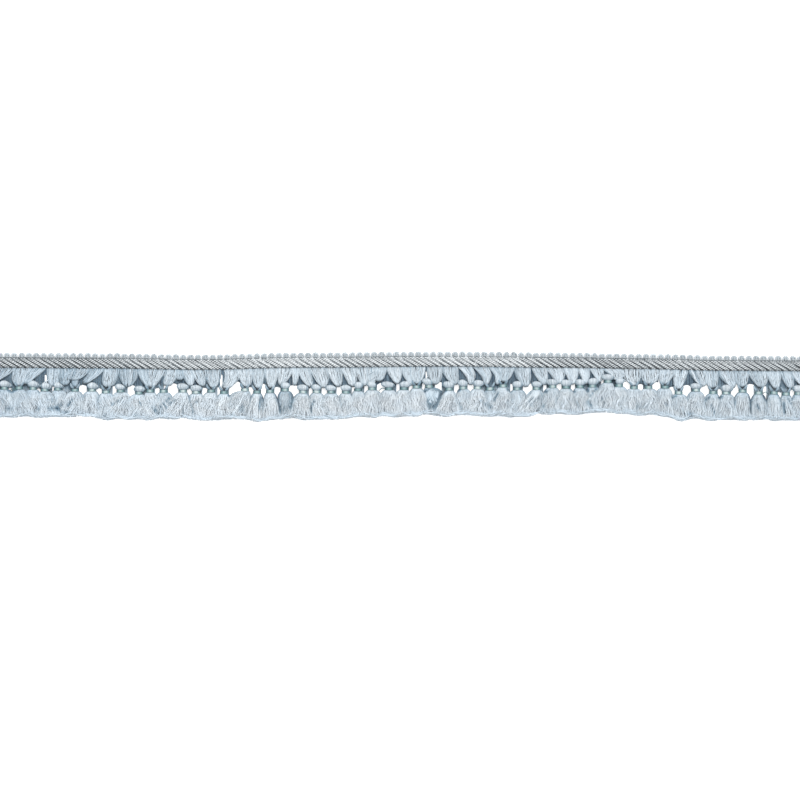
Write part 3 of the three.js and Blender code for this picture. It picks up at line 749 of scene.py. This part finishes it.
def hang_bundles():
    """Bundles of threads that keep most of their width on the way down and then draw in to their
    ends. At a share w of the way a bundle has gone over to its end's place by w^1.5 and drawn in by
    1 - (1 - w^late)^0.8. Its end is round: a thread at a share a of half its width ends higher by
    1 - sqrt(1 - a^2) radii."""
    count = len(BUNDLES)
    places = np.clip((BUNDLES[:, :4] - MIDDLE_MARK) * MARK, -HALF_LENGTH, HALF_LENGTH)
    left, right, end_left, end_right = places.T[:, :, None, None]
    end = ((LEVEL_MARK - BUNDLES[:, 4]) * MARK + LEVEL)[:, None, None]
    bow = (BUNDLES[:, 5] * MARK + luck.normal(0, 0.15, count))[:, None, None]
    late = BUNDLES[:, 6][:, None, None]
    across = evenly(count, SKIRT_THREADS)
    middle, own = clumped(across, SKIRT_CLUMPS)
    layer = np.tile(np.array([1.0, 0.82, 1.0, 0.93]), SKIRT_THREADS)[:SKIRT_THREADS]
    way = np.linspace(0, 1, SKIRT_STEPS) ** 0.85
    across = across[..., None] + (middle - across)[..., None] * 0.2 * np.sin(np.pi * way)
    pull = 1 - (1 - way**late) ** 0.8
    half = mix((right - left) / 2 * 1.1, np.maximum(end_right - end_left, 2.0) / 2, pull)
    line = mix((left + right) / 2, (end_left + end_right) / 2, way**1.5)
    line = line + bow * np.sin(np.pi * way)
    along = line + across * half
    slant = luck.normal(0, 0.5, (count, SKIRT_THREADS, 1)) * (1 - np.abs(across) ** 2)
    along = along + slant * (way - 0.5)
    wave = luck.uniform(0, 2 * np.pi, (count, SKIRT_THREADS, 1))
    along = along + 0.2 * np.sin(wave + way * 7) * np.sin(np.pi * way)
    along = np.clip(along, -HALF_LENGTH, HALF_LENGTH)

    # How far down each thread ends and how high it lies
    top = lower_edge(along[:, :, :1]) + 0.1
    round_end = np.minimum((end_right - end_left) / 2, 1.7)
    low_end = end + round_end * (1 - np.sqrt(1 - np.clip(np.abs(across), 0, 0.995) ** 2))
    low_end = low_end + luck.normal(0, 0.08, (count, SKIRT_THREADS, 1))
    height = mix(top, low_end, way)
    crest = np.interp(way, [0, 0.25, 0.6, 0.97, 1], [1.35, 2.3, 3.1, 3.9, 2.6])
    dome = np.sqrt(np.clip(1 - np.abs(across) ** np.interp(way, [0, 0.7], [9, 2.4]), 0, 1))
    crest = crest + luck.normal(0, 0.3, (count, 1, 1)) * np.sin(np.pi * way)
    crest = crest * mix(0.72, 1.0, np.clip((right - left) / 8, 0, 1))
    low = 0.35
    level = low + (crest - low) * dome * layer[None, :, None]
    paths = np.stack(np.broadcast_arrays(along, height, level), -1)

    # Tone: painted shade in low layers under the upper ones, at the sides where bundles meet and
    # right under the heading's edge, and darker at the very end
    middles = (BUNDLES[:, 0] + BUNDLES[:, 1] - 2 * MIDDLE_MARK) * MARK / 2
    light = along_table(SKIRT_LIGHT, middles)[:, None, None] + luck.normal(0, 0.012, (count, 1, 1))
    # Narrow bundles stand clear of the others and catch more of the lamp, so they are painted
    # darker as shade
    light = light - 0.1 * (1 - np.clip((right - left) / 8, 0, 1))
    cool = along_table(STRETCHES, middles, 3)[:, None, None]
    tone = 0.515 + luck.normal(0, 0.045, across.shape[:2])[..., None] + 0.025 * own[..., None]
    tone = tone - 0.3 * (1 - layer)[None, :, None]
    tone = tone - 0.28 * np.abs(across) ** 8 * (0.3 + 0.7 * way) - 0.1 * np.exp(-way * 12) + light
    tone = tone - 0.12 * np.clip((way - 0.85) / 0.15, 0, 1)
    for i, part in enumerate(np.array_split(np.arange(count), 4)):
        yarn = Yarn()
        yarn.bundles(paths[part], THREAD, tone[part], cool[part])
        nodes = ("loop_skirt",) if i == 0 else ()
        yarn.piece(f"skirt_yarn_{i + 1}", skirt_finish, "skirt_yarn", *nodes)


def hang_back_yarn():
    """Yarn behind the bundles, painted dark for the shade that it lies in, and paler near the
    heading where light still falls on it. It hangs straight down from the heading to a little below
    the ties. Over an opening it ends at the opening's top, an arch that falls off with the square
    of the distance from its middle. A few loose strands lie across the bundles, each on a straight
    line with half a wave of rise."""
    yarn = Yarn()
    back = np.arange(-HALF_LENGTH + 0.4, HALF_LENGTH - 0.3, BACK_PITCH)
    back = back + luck.uniform(-0.06, 0.06, len(back))
    marks = back / MARK + MIDDLE_MARK
    level = np.interp(back, tassels.along, tassels.tie) - BACK_BELOW_TIE
    for left, right, start in OPENINGS:
        here = (marks > left) & (marks < right)
        half = (right - left) / 2
        side = (marks[here] - left) / half - 1
        level[here] = (LEVEL_MARK - start - OPENING_ARCH * half * side**2) * MARK + LEVEL
    level = level + luck.normal(0, 0.1, len(back))
    way = np.linspace(0, 1, 7)
    height = mix(lower_edge(back)[:, None] + 0.1, level[:, None], way)
    along = back[:, None] + luck.normal(0, 0.04, (len(back), 1)) * way
    paths = np.stack(np.broadcast_arrays(along, height, BACK_LEVEL), -1)
    # Painted shade: the yarn is dark, with painted light down to LIT_MARK
    lit = np.clip((LEVEL + (LEVEL_MARK - LIT_MARK) * MARK - height) / 3, 0, 1)
    tone = 0.12 + luck.normal(0, 0.06, (len(back), 1)) + 0.32 * lit
    yarn.strands(paths, BACK_THREAD, tone, 0.6)

    # The loose strands, six threads to each
    mark, down, end_mark, end_down, rise, width = LOOSE_YARN.T[:, :, None, None]
    way = np.linspace(0, 1, 11)
    beside = evenly(len(LOOSE_YARN), 6)[:, :, None] * width / 2
    x = (mix(mark, end_mark, way) - MIDDLE_MARK) * MARK + beside * MARK * 0.5
    y = LEVEL_MARK - mix(down, end_down, way) + rise * np.sin(np.pi * way) + 0.8 * beside
    z = 2.6 + 1.5 * np.sin(np.pi * way) - 0.4 * np.abs(beside)
    loose = np.stack(np.broadcast_arrays(x, y * MARK + LEVEL, z), -1).reshape(-1, len(way), 3)
    tone = 0.5 + luck.normal(0, 0.05, (len(loose), 1))
    yarn.strands(loose, FINE_THREAD, tone, 0.3)
    yarn.piece("skirt_back_yarn", skirt_finish, "skirt_yarn")


# Tassels

TASSEL_THREADS = 112
TASSEL_STEPS = 12
TASSEL_CLUMPS = 13
# Random heights from which each clump gets the one by which it lies over or under the others
OVERLAPS = 64
HEM_LEVEL = -17
TIE_HALF = 2.1


def column(values):
    """Values with one row a tassel, ready to spread over threads and steps."""
    return np.asarray(values, float)[:, None, None]


def reaches():
    """How far each tassel reaches to its left and right, at its tie and at its hem: to the middle
    between the ties, and to a point between the hems that leaves each room in step with its
    spread, and a little over, most at the hem. There a tassel reaches further over one that lies
    behind it."""
    share = 1 / (1 + (tassels.spread[1:] / tassels.spread[:-1]) ** 2)
    top = (tassels.along[:-1] + tassels.along[1:]) / 2
    top[MEETINGS[:, 0].astype(int)] += MEETINGS[:, 1]
    low = mix(tassels.hem_along[:-1], tassels.hem_along[1:], share)
    top = np.concatenate([[-HALF_LENGTH], top, [HALF_LENGTH]])
    low = np.concatenate([[-HALF_LENGTH], low, [HALF_LENGTH]])
    over = mix(1.5, 0.2, TASSEL_LIE[:, 2])
    top_over = mix(0.4, -0.15, TASSEL_LIE[:, 2])
    ahead = np.diff(TASSEL_LIE[:, 0])
    left_more = 1.2 * np.clip(np.concatenate([[0], ahead]), 0, 1.5)
    right_more = 1.2 * np.clip(np.concatenate([-ahead, [0]]), 0, 1.5)
    return (
        (tassels.along - top[:-1] + top_over, tassels.hem_along - low[:-1] + over + left_more),
        (top[1:] - tassels.along + top_over, low[1:] - tassels.hem_along + over + right_more),
    )


def bell(way, drop, shoulder):
    """Share of its full reach that a tassel has at a share of the way down: a quarter of an
    ellipse over the height of its shoulder, and full from there on."""
    near = 1 - np.clip(way * drop / shoulder, 0, 1)
    return np.sqrt(1 - near**2)


def crease_depth_and_shade(along, height):
    """How deep points lie in a crease, and how dark the painted shade on them is. It falls off with
    the distance from the line of the crease like a bell curve, and where creases meet the deepest
    counts."""
    deep = np.zeros(np.broadcast(along, height).shape)
    for x0, down0, x1, down1, half, depth in CREASES:
        start = np.array([(x0 - MIDDLE_MARK) * MARK, (LEVEL_MARK - down0) * MARK + LEVEL])
        run = np.array([x1 - x0, down0 - down1]) * MARK
        share = ((along - start[0]) * run[0] + (height - start[1]) * run[1]) / (run @ run)
        share = np.clip(share, 0, 1)
        off = (along - start[0] - share * run[0]) ** 2 + (height - start[1] - share * run[1]) ** 2
        deep = np.maximum(deep, depth * np.exp(-off / (half * MARK) ** 2))
    return deep


def comb_tassels():
    """The threads below the ties. They leave the tie nearly sideways and bend down over round
    shoulders, and their level follows a dome that is full under the tie, sinks to the hem and
    rolls under there. At a share w of the way a thread's reach is its bell times its place from
    -1 to 1, it has swept aside by w^1.4, and it waves on sines."""
    count = len(tassels.along)
    start = column(tassels.tie) - TIE_DEPTH / 2 + 0.15
    across = evenly(count, TASSEL_THREADS)
    middle, own = clumped(across, TASSEL_CLUMPS)
    kinds = np.array([1.0, 0.72, 1.0, -1.0, 0.72])
    layer = np.tile(kinds, TASSEL_THREADS)[:TASSEL_THREADS]
    way = np.linspace(0, 1, TASSEL_STEPS) ** 1.9
    pull = 0.1 * np.sin(np.pi * way ** (0.9 + 0.5 * np.tanh(own))[..., None])
    across = across[..., None] + (middle - across)[..., None] * pull
    drop = column(tassels.tie - tassels.hem) - TIE_DEPTH / 2
    left, right = reaches()
    front, slope, parted = (column(values) for values in TASSEL_LIE.T)
    shoulder = mix(3.6, 6.4, parted) + luck.normal(0, 0.3, (count, 1, 1))
    tent = np.clip((front - 0.9) / 0.2, 0, 1)
    grow = mix(bell(way, drop, shoulder), way**0.8, 0.7 * tent)

    def spread_at(across, way, grow):
        """Half width on the side on which a thread lies."""
        on_left = mix(column(left[0]), column(left[1]), way)
        on_right = mix(column(right[0]), column(right[1]), way)
        return mix(TIE_HALF, np.where(across < 0, on_left, on_right), grow)

    half = spread_at(across, way, grow)
    lean = column(tassels.hem_along - tassels.along)
    sweep = luck.normal(0, 1, (count, TASSEL_THREADS, 1)) * mix(1.5, 0.8, parted)
    sweep = sweep + 0.6 * own[..., None] + 1.4 * slope
    along = column(tassels.along) + lean * way + across * half
    along = along + sweep * way**1.4 * (1 - np.abs(across) ** 3)
    lies = np.arange(TASSEL_THREADS)[None, :, None] % len(kinds)
    turn = luck.uniform(0, 2 * np.pi, (count, 1, 1)) + 1.9 * lies
    curl = np.sin(mix(start, HEM_LEVEL, way) * 0.66 + 1.2 * np.sin(0.33 * along + turn) + turn)
    reach = mix(1.15, 0.45, parted) * (1 + 0.3 * np.tanh(own[..., None]))
    along = along + reach * curl * np.sin(np.pi * way) ** 0.8 * (1 - np.abs(across) ** 4)
    wave = luck.uniform(0, 2 * np.pi, (count, TASSEL_THREADS, 1))
    turns = luck.uniform(1.2, 3.0, (count, TASSEL_THREADS, 1))
    along = along + 0.24 * np.sin(wave + 2 * np.pi * turns * way) * np.sin(np.pi * way)
    along = np.clip(along, -HALF_LENGTH, HALF_LENGTH)

    # How high each thread lies: on the dome, a little under it, or under the middle of the body
    end = hem_height(along[:, :, -1:]) + luck.normal(0, 0.12, (count, TASSEL_THREADS, 1))
    end = end + 1.1 * np.abs(across[:, :, -1:]) ** 3 - 0.2
    height = mix(start, end, way)
    top = np.interp(way, [0, 0.06, 0.3, 0.74, 0.9, 1], [3.3, 4.15, 3.9, 3.5, 2.3, 1.4])
    top = top + 0.8 * front * np.sin(np.pi * way**0.6)
    low = np.interp(way, [0, 0.1, 0.3, 1], [2.0, 0.8, 0.32, 0.32])
    dome = np.clip(1 - np.abs(across) ** (2.2 + 3 * way), 0, 1) ** 0.5
    kind = (own * 9).astype(int) % OVERLAPS
    over = np.take_along_axis(luck.normal(0, 0.24, (count, OVERLAPS)), kind, 1)
    top = top + over[..., None] * np.sin(np.pi * way)
    centre = mix(low, top, 0.42)
    level = np.where(
        layer[None, :, None] > 0,
        centre + (top - centre) * dome * np.abs(layer[None, :, None]),
        centre - (centre - low) * dome,
    )
    paths = np.stack(np.broadcast_arrays(along, height, level), -1)

    # Tone: painted shade in low layers, on tassels that lie behind others, at the sides and in
    # creases, and near the tie, where it tones down the lamp's light on the tops; painted light at
    # the hem, where the threads curve down away from the lamp; the hem and the creases are bluer
    # too
    light = column(along_table(STRETCHES, tassels.along, 2))
    tone = 0.635 + luck.normal(0, 0.038, (count, TASSEL_THREADS, 1)) + 0.01 * own[..., None]
    tone = tone - 0.1 * (layer[None, :, None] < 0.9)
    tone = tone - (0.12 + 0.16 * way) * np.clip(-front, 0, 1.2) ** 2
    fringe = np.clip((way - 0.72) / 0.25, 0, 1)
    tone = tone + light - 0.2 * np.exp(-way * 8) + 0.1 * fringe
    tone = tone - mix(0.06, 0.36, parted) * np.abs(across) ** 7 * (1 - 0.6 * way)
    tone = tone - mix(0.09, 0.16, parted) * np.abs(across) ** 2.5 * (1 - 0.8 * way)
    tone = mix(np.minimum(tone, 0.7), 0.76 + light, 0.75 * fringe)
    cool = column(along_table(STRETCHES, tassels.along, 3)) + 0.45 * fringe
    cool = cool + 0.14 * np.sin(0.4 * along + 2 * np.sin(0.5 * height))
    # Creases sink the threads and are painted with shade, bluer as well
    deep = crease_depth_and_shade(along, height)
    tone, level = tone - deep, level - 0.5 * deep
    cool = np.clip(cool + deep, 0, 1)
    paths[..., 2] = level

    # A body under the threads of each tassel, with the same bell for its outline
    sides = np.arange(12) / 12 * 2 * np.pi
    steps = np.array([0.0, 0.03, 0.1, 0.22, 0.5, 0.93])[:, None]
    wide = spread_at(np.cos(sides), steps, bell(steps, drop, shoulder))
    core_along = column(tassels.along) + lean * steps + wide * 0.88 * np.cos(sides)
    core_end = hem_height(core_along[:, -1:])
    core_height = mix(start, core_end, steps)
    core_top = np.interp(steps, [0, 0.1, 0.3, 0.74, 1], [3.0, 3.5, 3.2, 2.6, 0.7])
    core_low = np.interp(steps, [0, 0.12, 0.3, 1], [2.0, 1.0, 0.4, 0.4])
    core_level = mix(core_low, core_top, 0.5 + 0.5 * np.sin(sides))
    core_along = np.clip(core_along, -HALF_LENGTH, HALF_LENGTH)
    cores = np.stack(np.broadcast_arrays(core_along, core_height, core_level), -1)

    for i, part in enumerate(np.array_split(np.arange(count), 6)):
        yarn = Yarn()
        yarn.bundles(paths[part], FINE_THREAD, tone[part], cool[part])
        yarn.core(cores[part], 0.5, 0.5)
        nodes = [f"tassel_{n + 1:02d}" for n in part]
        yarn.piece(f"tassel_yarn_{i + 1}", tassel_finish, "tassel_yarn", *nodes)


HEM_ENDS = 760


def lay_hem_ends():
    """The ends of the threads, brushed sideways along the hem. At a share w of the way an end has
    gone aside by w^1.2 and still has (1 - w)^1.6 of its fall before it."""
    yarn = Yarn()
    start = np.linspace(-HALF_LENGTH + 3, HALF_LENGTH - 3, HEM_ENDS)[:, None]
    way = np.linspace(0, 1, 7)
    swing = np.sin(0.23 * start + 1.7 * np.sin(0.071 * start))
    side = np.sign(swing + luck.normal(0, 0.5, (HEM_ENDS, 1)))
    along = start + side * luck.uniform(2.5, 6.0, (HEM_ENDS, 1)) * way**1.2
    along = np.clip(along, -HALF_LENGTH, HALF_LENGTH)
    above = luck.uniform(0.25, 1.7, (HEM_ENDS, 1))
    above = above + luck.uniform(0.3, 1.6, (HEM_ENDS, 1)) * (1 - way) ** 1.6
    paths = np.stack([along, hem_height(along) + above, 1.75 + 0.5 * above], -1)
    light = along_table(STRETCHES, start, 2)
    tone = 0.62 + light + luck.normal(0, 0.05, (HEM_ENDS, 1)) - 0.2 * (way - 0.6) ** 2
    yarn.strands(paths, HEM_THREAD, tone, 0.8)
    yarn.piece("tassel_hem_ends", tassel_finish, "tassel_yarn")


HEAD_THREADS = 24
LOBE_THREADS = 9
# Half of a turned head, a leaf of threads that cups the round end of a bundle
# rise above the tie, reach of its inner edge, reach of its outer edge, height
LEAF = np.array([
    [-0.4, 0.1, 1.5, 3.0], [0.2, 0.3, 2.0, 3.6],
    [1.0, 0.9, 2.5, 3.9], [1.9, 1.6, 2.8, 3.6],
    [2.8, 2.2, 2.8, 2.7], [3.0, 2.1, 2.6, 1.6],
])
# A thread's way over a head: how far up from the tie, and how far in front of its middle
OVER_HEAD = np.array([
    [-0.06, 0.5], [0.08, 0.75], [0.28, 0.92], [0.56, 1.0], [0.84, 0.7],
    [1.0, 0.1], [0.86, -0.6], [0.5, -0.9], [0.1, -0.6],
])


def fold_threads(along, tie, half, tall, thick, threads, middle):
    """Threads folded over the loop that a tassel hangs on: up the front, over the top and down
    the back, side by side across the head, shorter and thinner towards its sides."""
    across = evenly(len(along), threads)[..., None]
    up, out = OVER_HEAD.T
    bend = np.sqrt(np.clip(1 - 0.75 * across**2, 0, 1))
    wide = np.interp(up, [-0.06, 0.1, 0.45, 0.75, 1.0], [0.56, 0.72, 0.97, 1.0, 0.72])
    x = column(along) + across * column(half) * wide
    y = column(tie) + TIE_DEPTH / 2 - 0.1 + up * tall * mix(0.55, 1.0, bend)
    z = middle + out * thick * mix(0.4, 1.0, bend)
    return np.stack(np.broadcast_arrays(x, y, z), -1).reshape(-1, len(up), 3), across


def fold_heads():
    """A dome of threads over each tassel that faces the front, in two layers. It nods to a side in
    step with the height, and its right side hangs down by the square of the place across it. The
    inner layer is painted darker as shade, and each head has a band of painted highlight over its
    top, with painted shade low at the front, at the back and at its sides."""
    yarn = Yarn()
    facing = tassels.facing > 0
    along, tie, half = tassels.along[facing], tassels.tie[facing], tassels.head[facing] / 2
    nod = luck.normal(0, 0.5, len(along))
    squash = luck.uniform(0.8, 1.0, (len(along), 1, 1))
    for size, inner_shade in ((1.0, 0.0), (0.86, 0.25)):
        tall = HEAD_HEIGHT * mix(1, size, 0.6) * squash
        paths, across = fold_threads(
            along, tie, half * 1.18 * size, tall, 1.62 * size, HEAD_THREADS, 3.1
        )
        rise = (paths[:, :, 1] - np.repeat(tie, HEAD_THREADS)[:, None]) / HEAD_HEIGHT
        rise = np.clip(rise, 0, 1)
        paths[:, :, 0] += np.repeat(nod, HEAD_THREADS)[:, None] * rise
        droop = np.repeat(along_table(HEAD_DROOP, along), HEAD_THREADS)[:, None]
        right_side = np.clip(across.reshape(-1, 1), 0, 1) ** 2 * np.sqrt(rise)
        paths[:, :, 0] += 1.2 * droop * right_side
        paths[:, :, 1] -= 1.7 * droop * right_side
        # Painted shade on the inner layer and at the sides, and a band of painted highlight over
        # the top with painted shade below and behind it
        tone = 0.5 - inner_shade + luck.normal(0, 0.045, (len(paths), 1))
        light_and_shade_band = np.array([-0.22, -0.1, -0.03, 0.03, 0.03, -0.05, -0.2, -0.2, -0.2])
        tone = tone - 0.3 * across.reshape(-1, 1) ** 4 + light_and_shade_band
        yarn.strands(paths, FINE_THREAD, tone, 0.0, across=(1, 0, 0))
    yarn.piece("tassel_heads", tassel_finish, "tassel_yarn")


def fold_lobes():
    """Two small lobes over each tassel that is turned side-on: threads between the inner and the
    outer edge of a leaf, lower by half the square of their place across it."""
    yarn = Yarn()
    turned = tassels.facing == 0
    rise, inner, outer, level = LEAF.T
    for side in (-1, 1):
        across = evenly(turned.sum(), LOBE_THREADS)[..., None]
        x = column(tassels.along[turned]) + side * mix(inner, outer, (across + 1) / 2)
        y = column(tassels.tie[turned]) + TIE_DEPTH / 2 + rise
        z = level - 0.5 * across**2
        paths = np.stack(np.broadcast_arrays(x, y, z), -1).reshape(-1, len(rise), 3)
        # Painted shade at the sides of each lobe and at its foot by the tie
        tone = 0.36 + luck.normal(0, 0.06, (len(paths), 1))
        tone = tone - 0.3 * across.reshape(-1, 1) ** 4 - 0.2 * np.exp(-np.arange(len(rise)) / 1.2)
        yarn.strands(paths, FINE_THREAD, tone, 0.2, across=(0, 0, 1))
    yarn.piece("tassel_lobes", tassel_finish, "tassel_yarn")


# Half of the neck's width and of its thickness as the tie goes round it, the level of its middle,
# and half of the height that the windings take
NECK_HALF = 2.15
NECK_DEEP = 1.28
NECK_LEVEL = 2.75
WOUND_HALF = 0.72


def wind_ties():
    """Ties: a thread wound five times round each neck, on an ellipse that goes down the neck evenly
    with the angle, and a few loose ends in half a wave."""
    yarn = Yarn()
    turns = 5
    steps_a_turn = 14
    angle = np.linspace(0, 2 * np.pi * turns, turns * steps_a_turn + 1)
    start = luck.uniform(0, 2 * np.pi, (len(tassels.along), 1))
    x = tassels.along[:, None] + NECK_HALF * np.cos(angle + start)
    z = NECK_LEVEL + NECK_DEEP * np.sin(angle + start)
    y = tassels.tie[:, None] + mix(WOUND_HALF, -WOUND_HALF, angle / angle[-1])
    paths = np.stack(np.broadcast_arrays(x, y, z), -1)
    # Painted shade: darker where the thread turns round the sides of the neck, paler over its
    # middle
    tone = 0.52 + luck.normal(0, 0.05, (len(paths), 1))
    tone = tone - 0.44 * np.abs(np.cos(angle + start)) ** 1.6
    yarn.strands(paths, TIE_THREAD, tone, sides=4, across=(0, 1, 0))
    way = np.linspace(0, 1, 11)
    mark, down, end_mark, end_down, rise = LOOSE_ENDS.T[:, :, None]
    x = (mix(mark, end_mark, way) - MIDDLE_MARK) * MARK
    y = (LEVEL_MARK - mix(down, end_down, way) + rise * np.sin(np.pi * way)) * MARK + LEVEL
    curls = np.stack([x, y, 2.4 + 1.6 * np.sin(np.pi * way) + 0 * x], -1)
    yarn.strands(curls, CURL_THREAD, 0.16, sides=4)
    yarn.piece("tie_threads", tie_finish, "tie_thread")


lay_cords()
lay_loops()
lay_stitches()
lay_shaded_ground()
hang_bundles()
hang_back_yarn()
comb_tassels()
lay_hem_ends()
fold_heads()
fold_lobes()
wind_ties()

# Floor, light and camera


def plain_floor():
    """A pale matt surface under the trim, which glows like a light table."""
    mesh = bpy.data.meshes.new("floor")
    mesh.from_pydata([(-4, -4, 0), (4, -4, 0), (4, 4, 0), (-4, 4, 0)], [], [(0, 1, 2, 3)])
    finish = bpy.data.materials.new("floor")
    finish.use_nodes = True
    tree = finish.node_tree
    shader = tree.nodes["Principled BSDF"]
    shader.inputs["Roughness"].default_value = 0.9
    place = tree.nodes.new("ShaderNodeTexCoord")
    grain_and_ply_light = tree.nodes.new("ShaderNodeTexNoise")
    grain_and_ply_light.inputs["Scale"].default_value = 6
    wire(tree, place, "Object", grain_and_ply_light, "Vector")
    ramp = tree.nodes.new("ShaderNodeValToRGB")
    ramp.color_ramp.elements[0].color = (0.54, 0.54, 0.54, 1)
    ramp.color_ramp.elements[1].color = (0.56, 0.56, 0.56, 1)
    wire(tree, grain_and_ply_light, "Fac", ramp, "Fac")
    wire(tree, ramp, "Color", shader, "Base Color")
    shader.inputs["Emission Color"].default_value = (1, 1, 1, 1)
    shader.inputs["Emission Strength"].default_value = 0.68
    mesh.materials.append(finish)
    floor = bpy.data.objects.new("floor", mesh)
    floor.location.z = -0.0001
    bpy.context.scene.collection.objects.link(floor)


def soft_light():
    """A wide soft lamp above the heading's side, and an even pale surround."""
    lamp = bpy.data.lights.new("lamp", "SUN")
    lamp.energy = 3.3
    lamp.angle = math.radians(40)
    holder = bpy.data.objects.new("lamp", lamp)
    holder.rotation_euler = Vector((0.2, 0.5, 1.0)).to_track_quat("Z", "Y").to_euler()
    bpy.context.scene.collection.objects.link(holder)
    world = bpy.data.worlds.new("surround")
    world.use_nodes = True
    world.node_tree.nodes["Background"].inputs["Color"].default_value = (0.985, 0.995, 1.0, 1)
    world.node_tree.nodes["Background"].inputs["Strength"].default_value = 1.0
    bpy.context.scene.world = world
    bpy.context.scene.view_settings.view_transform = "Standard"


def camera_above():
    """A long lens straight above the trim, with a picture 457 mm across at the level 2.5 mm."""
    picture = 457.2
    level = 2.5
    centre = (0.0, -7.18)
    lens = bpy.data.cameras.new("camera")
    lens.sensor_width = 36
    lens.lens = 200
    lens.clip_end = 20
    holder = bpy.data.objects.new("camera", lens)
    distance = picture * lens.lens / lens.sensor_width + level
    holder.location = Vector((*centre, distance)) * MM
    bpy.context.scene.collection.objects.link(holder)
    bpy.context.scene.camera = holder


plain_floor()
soft_light()
camera_above()
